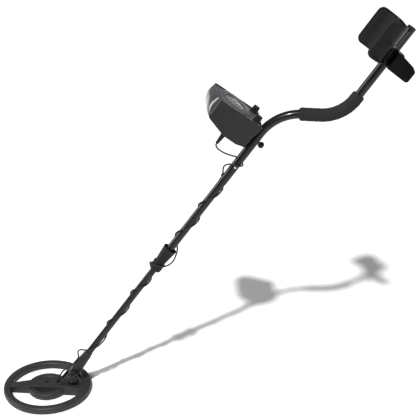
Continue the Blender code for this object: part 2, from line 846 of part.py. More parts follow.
def build_inside():
    """Circuit board, speaker and battery."""
    box("circuit_board", (0.072, 0.090, 0.0016), BOARD, parent=STEM, loc=(-0.0730, 0, 0.7465))
    turned(
        "speaker",
        [
            (0.0, -0.0020),
            (0.0150, 0.0030),
            (0.0180, 0.0030),
            (0.0180, 0.0010),
            (0.0090, -0.0050),
            (0.0090, -0.0100),
            (0.0, -0.0100),
        ],
        DARK_PLASTIC,
        steps=24,
        parent=STEM,
        loc=(-0.0760, 0.0300, 0.7400),
    )
    for side, name in ((1, "battery_far"), (-1, "battery_near")):
        cell = box(name, (0.0170, 0.0265, 0.0260), BATTERY, parent=STEM,
                   loc=(-0.1225, side * 0.0160, 0.7560))
        bevel(cell, 0.0015, 1)


def build_plug():
    """Socket in the box's underside, and the cable's plug in it."""
    turned(
        "coil_socket",
        [
            (0.0058, 0.0100),
            (0.0058, -0.0005),
            (0.0076, -0.0009),
            (0.0076, -0.0034),
            (0.0046, -0.0034),
            (0.0046, 0.0070),
            (0.0, 0.0070),
            (0.0, 0.0100),
        ],
        DARK_PLASTIC,
        True,
        18,
        parent=STEM,
        loc=(SOCKET_X, 0, SOCKET_Z),
    )
    turned(
        "coil_plug",
        [
            (0.0, 0.0060),
            (0.0042, 0.0060),
            (0.0042, -0.0139),
            (0.0056, -0.0145),
            (0.0054, -0.0230),
            (0.0036, -0.0367),
            (0.0, -0.0367),
        ],
        DARK_PLASTIC,
        steps=16,
        parent=STEM,
        loc=(SOCKET_X, 0, SOCKET_Z),
    )
    turned(
        "plug_ring",
        [
            (0.0066, -0.0040),
            (0.0072, -0.0050),
            (0.0072, -0.0120),
            (0.0062, -0.0135),
            (0.0045, -0.0135),
            (0.0045, -0.0040),
        ],
        DARK_PLASTIC,
        True,
        18,
        parent=STEM,
        loc=(SOCKET_X, 0, SOCKET_Z),
    )


def build_box_mount():
    """Saddle between the box and the rod, and the thumb screw that holds them together."""
    outline = [(-0.0102, -0.0085), (-0.0102, 0.0085), (-0.0210, 0.0140), (-0.0270, 0.0140),
               (-0.0270, -0.0140), (-0.0210, -0.0140)]
    saddle = slab("box_saddle", outline, 0.034, DARK_PLASTIC, parent=STEM, loc=(0, 0, 0.7250))
    boolean(saddle, cylinder("saddle_seat", ROD_D / 2 + GAP, 0.06, parent=STEM,
                             loc=(0, 0, 0.7250), segments=24))
    crosswise = (0, math.pi / 2, 0)
    boolean(saddle, cylinder("saddle_hole", 0.0030, 0.06, parent=STEM, rot=crosswise,
                             loc=(0, 0, CLAMP_AT), segments=12))
    clip = box_form("saddle_clip", None, -GAP)
    boolean(saddle, clip)
    turned(
        "clamp_knob",
        [
            (0.0, 0.0128),
            (0.0045, 0.0124),
            (0.0072, 0.0095),
            (0.0076, 0.0065),
            (0.0068, 0.0030),
            (0.0040, 0.0012),
            (0.0040, 0.0),
            (0.0, 0.0),
        ],
        DARK_PLASTIC,
        steps=20,
        parent=STEM,
        loc=(CLAMP_SEAT, 0, CLAMP_AT),
        rot=crosswise,
    )
    cylinder("clamp_screw", 0.0024, SCREW_LENGTH, STEEL, parent=STEM, rot=crosswise,
             loc=(CLAMP_SEAT - GAP - SCREW_LENGTH / 2, 0, CLAMP_AT), segments=12)


# ---------------------------------------------------------------- arm cuff and stand
CUFF_FLOOR = 0.0150
BOLT_Z = (-0.077, -0.027)
CROSSWISE = (0.0, math.pi / 2, 0.0)


def folded_sheet(name, line, span, wall, corner, look):
    """A sheet bent along a (y, height) line, along the arm; its free corners are rounded."""
    mesh = bpy.data.meshes.new(name)
    bm = bmesh.new()
    rows = [[bm.verts.new((-height, y, z)) for y, height in line] for z in span]
    for k in range(len(line) - 1):
        bm.faces.new((rows[0][k], rows[0][k + 1], rows[1][k + 1], rows[1][k]))
    bm.to_mesh(mesh)
    bm.free()
    sheet = place(name, mesh, look, smooth=False, parent=ARM)
    skin = sheet.modifiers.new("wall", "SOLIDIFY")
    skin.thickness = wall
    skin.offset = -1.0
    reach = max(abs(height) for y, height in line)
    outline = rounded_rectangle(reach, (span[1] - span[0]) / 2 + 0.00005, corner, 5)
    keep = slab(name + "_corners", outline, 0.3, parent=ARM, rot=SIDEWAYS)
    keep.location = (0, 0, (span[0] + span[1]) / 2)
    return boolean(sheet, keep, "INTERSECT")


def cuff_line(inset, height):
    """The U of the cuff seen along the arm, from one edge to the other."""
    half = CUFF_HALF_WIDTH - inset
    floor = CUFF_FLOOR + inset
    corner = 0.032 - inset
    far = arc((half - corner, floor + corner), corner, -90, 0, 5)
    far.append((half, height))
    return [(-y, h) for y, h in reversed(far)] + far


def bolt_holes(obj, radius):
    for number, z in enumerate(BOLT_Z):
        hole = cylinder(f"{obj.name}_hole{number}", radius, 0.08, parent=ARM, loc=(0, 0, z),
                        rot=CROSSWISE, segments=12)
        hole.data.transform(Matrix.Rotation(math.radians(7), 4, "Z"))
        boolean(obj, hole)


def build_cuff():
    cuff = folded_sheet(
        "arm_cuff", cuff_line(0.0, CUFF_HEIGHT), CUFF_SPAN, CUFF_WALL, 0.014, DARK_PLASTIC
    )
    bolt_holes(cuff, 0.0029)
    span = (CUFF_SPAN[0] + 0.004, CUFF_SPAN[1] - 0.004)
    line = cuff_line(CUFF_WALL + GAP, CUFF_HEIGHT - 0.004)
    pad = folded_sheet("cuff_pad", line, span, 0.0025, 0.012, FOAM)
    bolt_holes(pad, 0.0062)


SADDLE_BOTTOM = 0.0020


def build_cuff_mount():
    """Saddle under the cuff, its bolts and nuts, and the two-legged stand."""
    outline = [(-CUFF_FLOOR + GAP, -0.0190), (-CUFF_FLOOR + GAP, 0.0190), (-0.0070, 0.0175)]
    outline += [(-SADDLE_BOTTOM, 0.0130), (-SADDLE_BOTTOM, -0.0130), (-0.0070, -0.0175)]
    middle = (CUFF_SPAN[0] + CUFF_SPAN[1]) / 2
    saddle = slab("cuff_saddle", outline, 0.078, DARK_PLASTIC, parent=ARM, loc=(0, 0, middle))
    bore = cylinder("saddle_bore", ROD_D / 2 + GAP, 0.2, parent=ARM, loc=(0, 0, middle))
    boolean(saddle, bore)
    bolt_holes(saddle, 0.0029)
    foot = -ROD_D / 2 - GAP
    leg = [(0.0150, foot), (0.0175, -0.0030), (0.0300, -0.0040), (STAND_HALF_WIDTH, -STAND_DEPTH)]
    line = [(-y, h) for y, h in reversed(leg)] + leg
    stand = folded_sheet("stand", line, STAND_SPAN, -0.0030, 0.006, DARK_PLASTIC)
    for side in (-1, 1):
        lean = math.atan2(STAND_SPAN[1] - STAND_TIP_TOP, STAND_HALF_WIDTH - LEG_ROOT)
        taper = box(f"stand_taper{side}", (0.2, 0.1, 0.1), parent=ARM)
        taper.data.transform(Matrix.Translation((0.0, side * 0.05, 0.05)))
        taper.data.transform(Matrix.Rotation(-side * lean, 4, "X"))
        taper.location = (0.0, side * LEG_ROOT, STAND_SPAN[1])
        boolean(stand, taper)
    bolt_holes(stand, 0.0029)
    top = CUFF_FLOOR + CUFF_WALL + GAP
    nut_seats = (foot - 0.0030, ROD_D / 2 - 0.0023)
    for z, name, bottom in zip(BOLT_Z, ("front", "rear"), nut_seats):
        turned(
            "cuff_bolt_" + name,
            [
                (0.0, 0.0022),
                (0.0035, 0.0018),
                (0.0052, 0.0),
                (0.0025, 0.0),
                (0.0025, bottom - top - 0.0052),
                (0.0, bottom - top - 0.0052),
            ],
            STEEL,
            steps=16,
            parent=ARM,
            loc=(-top, 0, z),
            rot=(0, -math.pi / 2, 0),
        )
        nut = cylinder("cuff_nut_" + name, 0.0048, 0.0040, STEEL, segments=6, parent=ARM,
                       loc=(-(bottom - GAP - 0.0020), 0, z), rot=CROSSWISE)
        boolean(nut, cylinder(nut.name + "_bore", 0.0027, 0.01, segments=16, parent=ARM,
                              loc=nut.location, rot=CROSSWISE))


# ---------------------------------------------------------------- cable
# Where the cable crosses the stem's underside and upper side in turn, going up the stem
CROSSINGS = (0.1292, 0.1700, 0.2250, 0.2694, 0.3160, 0.3560, 0.4077, 0.4529, 0.5070, 0.5400,
             0.5960, 0.6300)
# The half turn after this crossing goes over the lock's front: level at the waist, then well clear
LOCK_TURN = 5
LOCK_ROUTE = (
    (0.3590, 0.0121, -0.0121),
    (0.3640, 0.0000, -0.0175),
    (0.3730, -0.0130, -0.0155),
    (0.3880, -0.0215, -0.0085),
)
# From the gland up to the free loop on the stem's upper side: (up the stem, across, y)
FOOT_ROUTE = (
    (-0.0261, 0.0220, 0.0),
    (-0.0165, 0.0222, -0.001),
    (-0.0060, 0.0230, -0.002),
    (0.0080, 0.0190, -0.003),
    (0.0250, 0.0150, -0.004),
    (0.0400, 0.0138, -0.004),
    (0.0500, 0.0152, -0.005),
    (0.0570, 0.0210, -0.006),
    (0.0645, 0.0250, -0.007),
    (0.0720, 0.0228, -0.009),
    (0.0780, 0.0150, -0.0115),
    (0.0860, 0.0055, -0.0130),
    (0.1000, -0.0035, -0.0110),
    (0.1150, -0.0085, -0.0070),
)
# From the last of these crossings, over a loose loop and a last turn, to the plug
HEAD_ROUTE = (
    (0.6360, 0.0155, 0.003),
    (0.6430, 0.0190, 0.001),
    (0.6510, 0.0185, -0.003),
    (0.6580, 0.0138, -0.0075),
    (0.6625, 0.0065, -0.0112),
    (0.6665, -0.0015, -0.0127),
    (0.6693, -0.0095, -0.0087),
    (0.6712, -0.0127, 0.0),
    (0.6727, -0.0088, 0.0094),
    (0.6742, 0.0005, 0.0127),
    (0.6750, 0.0105, 0.0085),
    (0.6735, 0.0200, 0.0030),
    (0.6712, 0.0330, 0.0),
    (0.6698, 0.0450, 0.0),
    (0.6702, 0.0550, 0.0),
    (0.6735, 0.0625, 0.0),
    (0.6784, 0.0650, 0.0),
)


def wound_radius(s):
    """Distance of the cable's centre from the stem's axis, going up."""
    clear = CABLE_D / 2 + 0.0008
    if s < LOCK_START - 0.004:
        return LOWER_TUBE_D / 2 + clear
    if s < LOCK_START + NUT_LENGTH:
        return 0.0146 + clear
    if s < LOCK_START + LOCK_LENGTH + 0.012:
        return 0.0165 + clear
    if s < ROD_START - 0.004:
        return MIDDLE_TUBE_D / 2 + clear
    return ROD_D / 2 + clear


def smooth_line(points, spacing):
    """Evenly spaced points on a smooth curve through the route's own points."""
    dense = []
    ends = [2 * points[0] - points[1], *points, 2 * points[-1] - points[-2]]
    for a, b, c, d in zip(ends, ends[1:], ends[2:], ends[3:]):
        for step in range(8):
            t = step / 8
            dense.append(
                0.5 * (2 * b + (c - a) * t + (2 * a - 5 * b + 4 * c - d) * t**2
                       + (3 * b - a - 3 * c + d) * t**3)
            )
    dense.append(points[-1])
    total = sum((b - a).length for a, b in zip(dense, dense[1:]))
    return along(dense, 0.0, total - 0.00001, round(total / spacing))


def wound_line():
    """The turns between the first crossing and the last, a point every eighth of a turn."""
    points = []
    last = len(CROSSINGS) - 1
    for step in range(4 * last + 1):
        k, part = divmod(step, 4)
        if k == LOCK_TURN and part:
            if part == 1:
                points += [on_stem(*place_at) for place_at in LOCK_ROUTE]
            continue
        low = CROSSINGS[k]
        s = low if k == last else low + (CROSSINGS[k + 1] - low) * part / 4
        angle = math.pi * step / 4
        radius = wound_radius(s)
        points.append(on_stem(s, -radius * math.cos(angle), radius * math.sin(angle)))
    return points


def build_cable():
    turns = wound_line()
    foot = [on_stem(s, across, y) for s, across, y in FOOT_ROUTE] + [turns[0]]
    head = turns + [on_stem(s, across, y) for s, across, y in HEAD_ROUTE]
    for name, route in (("cable_foot", foot), ("cable_wound", head)):
        line = smooth_line(route, 0.0098 if route is head else 0.0070)
        if route is head:
            line[0] += (line[1] - line[0]).normalized() * 3 * GAP
        place(name, mesh_of(rod_curve(name, line, CABLE_D)), RUBBER)


for build in (
    build_coil,
    build_bracket,
    build_clevis,
    build_gland,
    build_lower_stem,
    build_lock,
    build_snap_button,
    build_rod,
    build_grip,
    build_box,
    build_face,
    build_meter,
    build_controls,
    build_inside,
    build_plug,
    build_box_mount,
    build_cuff,
    build_cuff_mount,
    build_cable,
):
    build()
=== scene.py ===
"""Looks for the metal detector: materials, the wound cable, foam, fine mouldings, studio and camera.

Stem places use the stem's own coordinates: s up the stem from the coil's tilt pivot, across to its
upper side, and y. Metres throughout.
"""

import json
import math

import bmesh
import bpy
from mathutils import Matrix, Vector


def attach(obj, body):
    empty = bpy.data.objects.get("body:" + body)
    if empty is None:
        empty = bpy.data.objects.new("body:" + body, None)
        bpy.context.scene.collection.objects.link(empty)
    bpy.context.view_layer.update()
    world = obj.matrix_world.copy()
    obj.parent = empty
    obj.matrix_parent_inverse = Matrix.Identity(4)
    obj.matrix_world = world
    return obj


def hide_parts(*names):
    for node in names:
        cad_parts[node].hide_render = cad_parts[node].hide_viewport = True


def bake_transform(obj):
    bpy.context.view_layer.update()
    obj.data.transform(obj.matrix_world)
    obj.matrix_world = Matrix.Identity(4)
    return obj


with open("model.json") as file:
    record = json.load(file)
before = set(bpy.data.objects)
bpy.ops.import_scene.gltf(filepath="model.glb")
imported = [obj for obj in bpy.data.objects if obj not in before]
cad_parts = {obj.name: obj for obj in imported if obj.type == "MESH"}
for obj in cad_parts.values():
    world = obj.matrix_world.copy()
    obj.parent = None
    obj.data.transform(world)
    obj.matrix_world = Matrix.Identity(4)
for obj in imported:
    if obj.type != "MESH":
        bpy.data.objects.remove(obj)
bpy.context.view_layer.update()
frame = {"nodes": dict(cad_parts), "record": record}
NODES = frame["nodes"]


# ---------------------------------------------------------------- frame dimensions
STEM_ANGLE = math.radians(54.0)
PIVOT = Vector((0.062, 0.0, 0.0447))
STEM = Matrix.Translation(PIVOT) @ Matrix.Rotation(math.pi / 2 - STEM_ANGLE, 4, "Y")
LOWER_TUBE_R = 0.0078
MIDDLE_TUBE_R = 0.00915
ROD_R = 0.0099
TUBE_WALL, ROD_WALL = 0.001, 0.0007
LOWER_TUBE_SPAN, MIDDLE_TUBE_TOP = (0.0303, 0.470), 0.700
ROD_STRAIGHT_END = 0.7535
GRIP_ANGLE = math.radians(-4.0)
ARM_ANGLE = math.radians(54.8)
LOWER_BEND_R = 0.1025
GRIP_STRAIGHT = 0.040
UPPER_BEND_R = 0.085
ARM_LENGTH = 0.189
GRIP_R = 0.015
SOLE_THICKNESS, UNDERCUT = 0.002, 0.0035
RING_INNER, RING_OUTER, RING_TOP = 0.0875, 0.105, 0.0175
CORE_INNER, CORE_OUTER, CORE_TOP = 0.033, 0.048, 0.0160
BAR_TOP, BAR_REACH, BAR_HALF_WIDTH, BAR_TAPER, BAR_FALL_START = 0.022, 0.096, 0.020, 0.135, 0.0835
BAR_SLOPE_LENGTH, BAR_SLOPE_END = 0.088, -0.003
EAR_OUTER = 0.0143
FACE_AT, PANEL_SINK = 0.7776, 0.0020
METER_AT, OVAL = -0.089, (1.0, 1.18, 1.0)
NEEDLE_BACK, DIAL_DEPTH, DIAL_R, DIAL_STEPS, DIAL_SWEEP = 0.0165, 0.00335, 0.0275, 20, 76
KNOB_ROW, KNOB_Y = -0.034, 0.031
CLAMP_AT, CLAMP_SEAT = 0.7315, 0.0108
SOCKET_X, SOCKET_Z = -0.0650, 0.7163
CUFF_HALF_WIDTH, CUFF_FLOOR, CUFF_CORNER, CUFF_HEIGHT = 0.0575, 0.0150, 0.032, 0.0655
CUFF_SPAN, CUFF_WALL = (-0.0925, 0.0), 0.0030
PAD_CORNER, PAD_THICKNESS = 0.012, 0.0024
RIM_R, RIM_CORNER = 0.0017, 0.0125
RIM_FROM = 0.050
STAND_SPAN, STAND_TIP, STAND_CORNER = (-0.094, -0.0615), 0.0505, 0.007
GRIP_LENGTH = 0.146
GRIP_BACK = 0.012
BEND_STEPS = 24
ROLL_LENGTH, ROLL_DEPTH, WAVE_DEPTH = 0.0045, 0.0034, 0.00022
LOCK_START, NUT_LENGTH, LOCK_LENGTH = 0.3462, 0.0225, 0.064
LOCK_REACH, COLLAR_R, LOCK_RIM_R = 0.012, 0.0146, 0.0163
ROD_START = 0.610
# The sound slots are thin near-black strips on the box's far side: painted shade standing in for hollow
# slots.
SLOT_COUNT, SLOT_PITCH, SLOT_SIZE, SLOTS_FROM = 5, 0.004, (0.024, 0.0003, 0.0014), (-0.076, 0.741)
COVER_SEAM, NOSE_REACH, BOX_WALL = -0.1285, 0.0160, 0.0025
NOSE_SIDE = ((0.0, 0.7322), (0.53, 0.7375), (0.875, 0.7480), (1.0, 0.7610), (0.78, 0.7776))
NOSE_ROWS, NOSE_COLUMNS = 28, 48
BOX_HALF_WIDTH = 0.055
CABLE_D = 0.0035


def on_stem(s, across=0.0, y=0.0):
    return STEM @ Vector((-across, y, s))


def mesh_from(bm, name):
    mesh = bpy.data.meshes.new(name)
    bm.to_mesh(mesh)
    bm.free()
    return mesh


# ---------------------------------------------------------------- centre line of the rod
def heading(angle):
    return Vector((math.cos(angle), 0.0, math.sin(angle)))


def bend(start, first, last, radius, count):
    """Points along a bend in the vertical plane that turns from heading first to heading last."""
    side = 1 if last > first else -1
    centre = start + Vector((-math.sin(first), 0, math.cos(first))) * radius * side
    points = []
    for step in range(1, count + 1):
        angle = first + (last - first) * step / count
        points.append(centre - Vector((-math.sin(angle), 0, math.cos(angle))) * radius * side)
    return points


def rod_line():
    start = on_stem(ROD_START)
    bend_start = on_stem(ROD_STRAIGHT_END)
    points = [start, bend_start]
    points += bend(bend_start, STEM_ANGLE, GRIP_ANGLE, LOWER_BEND_R, BEND_STEPS)
    level_end = points[-1] + heading(GRIP_ANGLE) * GRIP_STRAIGHT
    points.append(level_end)
    points += bend(level_end, GRIP_ANGLE, ARM_ANGLE, UPPER_BEND_R, BEND_STEPS)
    points.append(points[-1] + heading(ARM_ANGLE) * ARM_LENGTH)
    return points


ROD_LINE = rod_line()
ARM_END = ROD_LINE[-1]
ARM = Matrix.Translation(ARM_END) @ Matrix.Rotation(math.pi / 2 - ARM_ANGLE, 4, "Y")


# ---------------------------------------------------------------- camera, light and floor
CAMERA_AT = (0.28167, -2.14188, 1.47571)
CAMERA_DOWN, CAMERA_YAW = math.radians(25.095), math.radians(-3.0)
LENS, SENSOR = 90.0, 36.0
SUN_ALONG, SUN_ENERGY, SUN_ANGLE = (0.148, 0.665, -1.0), 3.7, math.radians(2.6)
BOX_LIGHT_AT, BOX_LIGHT_AIM = (-2.2, 0.5, 1.7), (0.35, 0.0, 0.70)
BOX_LIGHT_SIZE, BOX_LIGHT_POWER = (1.5, 1.7), 50
SKY = 0.15
PAPER = 0.92
FLOOR_SIZE, FLOOR_GAP = 40.0, 0.0004


def build_camera():
    data = bpy.data.cameras.new("photo_camera")
    data.lens = LENS
    data.sensor_width = SENSOR
    camera = bpy.data.objects.new("photo_camera", data)
    camera.location = CAMERA_AT
    camera.rotation_euler = (math.pi / 2 - CAMERA_DOWN, 0.0, CAMERA_YAW)
    bpy.context.scene.collection.objects.link(camera)
    bpy.context.scene.camera = camera


def aim(obj, direction):
    obj.rotation_euler = Vector(direction).to_track_quat("-Z", "Y").to_euler()


def softbox(name, place, target, size, power):
    data = bpy.data.lights.new(name, "AREA")
    data.shape = "RECTANGLE"
    data.size, data.size_y = size
    data.energy = power
    light = bpy.data.objects.new(name, data)
    light.location = place
    aim(light, Vector(target) - Vector(place))
    bpy.context.scene.collection.objects.link(light)


def build_studio():
    sun_data = bpy.data.lights.new("key", "SUN")
    sun_data.energy = SUN_ENERGY
    sun_data.angle = SUN_ANGLE
    sun = bpy.data.objects.new("key", sun_data)
    aim(sun, SUN_ALONG)
    bpy.context.scene.collection.objects.link(sun)
    softbox("left_softbox", BOX_LIGHT_AT, BOX_LIGHT_AIM, BOX_LIGHT_SIZE, BOX_LIGHT_POWER)
    world = bpy.data.worlds.new("studio")
    world.use_nodes = True
    back = world.node_tree.nodes["Background"]
    back.inputs["Color"].default_value = (1.0, 1.0, 1.0, 1.0)
    back.inputs["Strength"].default_value = SKY
    bpy.context.scene.world = world
    bpy.context.scene.view_settings.view_transform = "Standard"
    bm = bmesh.new()
    bmesh.ops.create_grid(bm, x_segments=1, y_segments=1, size=FLOOR_SIZE)
    mesh = mesh_from(bm, "floor")
    floor = bpy.data.objects.new("floor", mesh)
    floor.location.z = -FLOOR_GAP
    paint = bpy.data.materials.new("floor_paper")
    paint.use_nodes = True
    shader = paint.node_tree.nodes["Principled BSDF"]
    shader.inputs["Base Color"].default_value = (PAPER, PAPER, PAPER, 1.0)
    shader.inputs["Roughness"].default_value = 0.9
    shader.inputs["Specular IOR Level"].default_value = 0.1
    mesh.materials.append(paint)
    bpy.context.scene.collection.objects.link(floor)


# ---------------------------------------------------------------- materials
class Surface:
    """A Principled material whose colour, roughness and bump come from layered noise."""

    def __init__(self, name, metallic=0.0, coat=0.0, specular=0.5):
        self.material = bpy.data.materials.new(name)
        self.material.use_nodes = True
        self.tree = self.material.node_tree
        self.shader = self.tree.nodes["Principled BSDF"]
        self.shader.inputs["Metallic"].default_value = metallic
        self.shader.inputs["Coat Weight"].default_value = coat
        self.shader.inputs["Coat Roughness"].default_value = 0.12
        self.shader.inputs["Specular IOR Level"].default_value = specular
        self.place = self.tree.nodes.new("ShaderNodeTexCoord")
        self.height = None

    def link(self, source, target):
        self.tree.links.new(source, target)

    def noise(self, scale, detail=3.0, rough=0.6):
        node = self.tree.nodes.new("ShaderNodeTexNoise")
        node.inputs["Scale"].default_value = scale
        node.inputs["Detail"].default_value = detail
        node.inputs["Roughness"].default_value = rough
        self.link(self.place.outputs["Object"], node.inputs["Vector"])
        return node.outputs["Fac"]

    def cells(self, scale):
        node = self.tree.nodes.new("ShaderNodeTexVoronoi")
        node.inputs["Scale"].default_value = scale
        self.link(self.place.outputs["Object"], node.inputs["Vector"])
        return node.outputs["Distance"]

    def level(self, origin, direction, low, high):
        """0 below low and 1 above high, measured from origin along direction."""
        shift = self.tree.nodes.new("ShaderNodeVectorMath")
        shift.operation = "SUBTRACT"
        self.link(self.place.outputs["Object"], shift.inputs[0])
        shift.inputs[1].default_value = origin
        dot = self.tree.nodes.new("ShaderNodeVectorMath")
        dot.operation = "DOT_PRODUCT"
        self.link(shift.outputs["Vector"], dot.inputs[0])
        dot.inputs[1].default_value = direction
        return self.spread(dot.outputs["Value"], 0.0, 1.0, low, high)

    def multiply(self, first, second):
        node = self.tree.nodes.new("ShaderNodeMath")
        node.operation = "MULTIPLY"
        self.link(first, node.inputs[0])
        self.link(second, node.inputs[1])
        return node.outputs["Value"]

    def mix(self, factor, first, second):
        node = self.tree.nodes.new("ShaderNodeMix")
        self.link(factor, node.inputs["Factor"])
        self.link(first, node.inputs["A"])
        self.link(second, node.inputs["B"])
        return node.outputs["Result"]

    def ramp(self, value, stops):
        node = self.tree.nodes.new("ShaderNodeValToRGB")
        ramp = node.color_ramp
        ramp.elements[0].position, ramp.elements[0].color = stops[0][0], (*stops[0][1], 1)
        ramp.elements[1].position, ramp.elements[1].color = stops[-1][0], (*stops[-1][1], 1)
        for position, color in stops[1:-1]:
            ramp.elements.new(position).color = (*color, 1)
        self.link(value, node.inputs["Fac"])
        return node.outputs["Color"]

    def spread(self, value, low, high, start=0.3, end=0.7):
        node = self.tree.nodes.new("ShaderNodeMapRange")
        node.inputs["From Min"].default_value = start
        node.inputs["From Max"].default_value = end
        node.inputs["To Min"].default_value = low
        node.inputs["To Max"].default_value = high
        self.link(value, node.inputs["Value"])
        return node.outputs["Result"]

    def color(self, value, dark, light):
        self.link(self.ramp(value, [(0.3, dark), (0.7, light)]), self.shader.inputs["Base Color"])

    def roughness(self, value, low, high):
        self.link(self.spread(value, low, high), self.shader.inputs["Roughness"])

    def bump(self, value, depth, strength):
        node = self.tree.nodes.new("ShaderNodeBump")
        node.inputs["Distance"].default_value = depth
        node.inputs["Strength"].default_value = strength
        self.link(value, node.inputs["Height"])
        if self.height is not None:
            self.link(self.height, node.inputs["Normal"])
        self.height = node.outputs["Normal"]
        self.link(self.height, self.shader.inputs["Normal"])


def grey(value):
    return (value, value, value * 1.06)


def moulded(name, shade, rough, grain=1400.0, depth=0.00012, coat=0.0, specular=0.30):
    """Moulded plastic: a spark-eroded grain, slow colour drift and rubbed patches."""
    made = Surface(name, coat=coat, specular=specular)
    made.color(made.noise(9.0, 4.0), grey(shade * 0.85), grey(shade * 1.2))
    made.roughness(made.noise(26.0, 5.0, 0.7), rough - 0.07, rough + 0.09)
    made.bump(made.noise(grain, 2.0, 0.5), depth, 0.5)
    return made.material


def painted_tube(name):
    """Gloss black powder coat: orange peel and fine lengthwise rubs."""
    made = Surface(name, coat=0.40, specular=0.18)
    made.color(made.noise(14.0, 4.0), grey(0.0045), grey(0.0085))
    made.roughness(made.noise(60.0, 6.0, 0.75), 0.26, 0.42)
    made.bump(made.noise(420.0, 2.0), 0.00010, 0.35)
    return made.material


def leather_grained(name, shade):
    """Glossy moulding whose walls carry a pebbled grain and whose curved floor is left smooth."""
    made = Surface(name, specular=0.22)
    made.color(made.noise(12.0, 4.0), grey(shade * 0.8), grey(shade * 1.25))
    walls = made.level(ARM_END, ARM.to_3x3() @ Vector((-1, 0, 0)), 0.027, 0.033)
    shine = made.spread(made.noise(50.0, 5.0, 0.7), 0.17, 0.28)
    dull = made.spread(made.noise(50.0, 5.0, 0.7), 0.42, 0.60)
    made.link(made.mix(walls, shine, dull), made.shader.inputs["Roughness"])
    made.bump(made.multiply(made.cells(520.0), walls), 0.0006, 0.7)
    made.bump(made.noise(1200.0, 2.0), 0.00003, 0.3)
    return made.material


def foam_skin(name, shade):
    """Closed-cell foam: round pores and a dusty, almost dull skin."""
    made = Surface(name, specular=0.25)
    made.color(made.noise(700.0, 2.0), grey(shade * 0.6), grey(shade * 1.5))
    made.roughness(made.noise(40.0, 3.0), 0.82, 0.96)
    made.bump(made.cells(900.0), 0.00045, 0.6)
    made.bump(made.noise(120.0, 4.0), 0.0006, 0.4)
    return made.material


def metal(name, shade, rough):
    """Plated metal with slight changes of tone and polish."""
    made = Surface(name, metallic=1.0)
    made.color(made.noise(90.0, 4.0), grey(shade * 0.88), grey(shade))
    made.roughness(made.noise(300.0, 3.0, 0.6), rough - 0.06, rough + 0.10)
    made.bump(made.noise(900.0, 2.0, 0.5), 0.00004, 0.3)
    return made.material


def rubber(name, shade, rough=0.6):
    """Dull rubber or cloth with a fine grain."""
    made = Surface(name, specular=0.35)
    made.color(made.noise(30.0, 4.0), grey(shade * 0.8), grey(shade * 1.25))
    made.roughness(made.noise(70.0, 4.0), rough - 0.08, rough + 0.1)
    made.bump(made.noise(1100.0, 2.0), 0.00008, 0.4)
    return made.material


def tinted(name, dark, light, rough, metallic=0.0):
    """A coloured coat that drifts between two tones."""
    made = Surface(name, metallic=metallic)
    made.color(made.noise(45.0, 4.0), dark, light)
    made.roughness(made.noise(120.0, 4.0), rough - 0.06, rough + 0.08)
    made.bump(made.noise(1300.0, 2.0), 0.00006, 0.3)
    return made.material


def clear(name):
    """Clear acrylic with faint rub marks."""
    made = Surface(name)
    made.roughness(made.noise(80.0, 6.0, 0.7), 0.02, 0.09)
    made.color(made.noise(6.0), (0.90, 0.95, 0.91), (0.96, 0.98, 0.96))
    made.shader.inputs["Transmission Weight"].default_value = 0.85
    made.shader.inputs["IOR"].default_value = 1.49
    return made.material


LOOKS = {
    "coil_plastic": moulded("coil_abs", 0.024, 0.46),
    "sole_plastic": moulded("sole_abs", 0.022, 0.52, 700.0),
    "copper_wire": tinted("enamelled_copper", (0.42, 0.16, 0.07), (0.72, 0.33, 0.18), 0.3, 1.0),
    "clevis_plastic": moulded("clevis_nylon", 0.014, 0.40),
    "rubber": rubber("rubber_black", 0.016),
    "cable": rubber("cable_jacket", 0.008, 0.62),
    "tube": painted_tube("tube_coat"),
    "lock_plastic": moulded("lock_abs", 0.008, 0.46, 900.0, 0.0001, 0.0, 0.2),
    "steel": metal("plated_steel", 0.70, 0.24),
    "foam": foam_skin("foam_black", 0.016),
    "box_plastic": moulded("box_abs", 0.007, 0.42, 1100.0, 0.00008, 0.55, 0.08),
    # Battery cover nose: the box's plastic made lighter (0.026 against 0.007), a painted sheen for the
    # light it catches from the left; its coat adds real reflection on top.
    "nose_painted_sheen": moulded("nose_abs_painted_sheen", 0.026, 0.34, 1100.0, 0.00008, 1.0, 0.6),
    "panel": tinted("panel_paint", (0.075, 0.077, 0.082), (0.11, 0.112, 0.12), 0.36),
    "window": clear("window_acrylic"),
    "dial": tinted("dial_card", (0.66, 0.71, 0.62), (0.76, 0.80, 0.71), 0.6),
    "board": tinted("board_resist", (0.012, 0.10, 0.045), (0.02, 0.17, 0.08), 0.4),
    "battery": tinted("battery_sleeve", (0.05, 0.05, 0.06), (0.12, 0.12, 0.14), 0.35),
    "knob_plastic": moulded("knob_abs", 0.012, 0.34, 1600.0),
    "cuff_plastic": leather_grained("cuff_abs", 0.004),
    "cuff_rim": moulded("cuff_rim_abs", 0.012, 0.22, 1400.0, 0.00004, 0.5),
    "pad_cloth": rubber("pad_neoprene", 0.008, 0.85),
    "marking": tinted("marking_ink", (0.50, 0.51, 0.50), (0.66, 0.67, 0.65), 0.5),
    # Dial print; also used on the sound slot strips, where it is painted shade for the slots' hollows.
    "ink": tinted("dial_ink_and_slot_shade", (0.010, 0.010, 0.012), (0.02, 0.02, 0.024), 0.5),
}


# ---------------------------------------------------------------- pieces, their bodies and slots
# Degrees past which an edge is drawn sharp: on the cable and spring, on soft parts, on the rims
EDGE_ANGLE, SOFT_ANGLE, RIM_ANGLE = 32, 50, 60
WELD, TUBE_WELD, FLAT = 0.000012, 0.00001, math.radians(0.6)
BODY_OF = {
    node: body for body, nodes in frame["record"]["behaviour"]["bodies"].items() for node in nodes
}
SLOT_OF = {part["node"]: part["material_slot"] for part in frame["record"]["subparts"]}


def dress_frame():
    """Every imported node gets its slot's material."""
    for name, node in NODES.items():
        node.data.materials.clear()
        node.data.materials.append(LOOKS[SLOT_OF[name]])


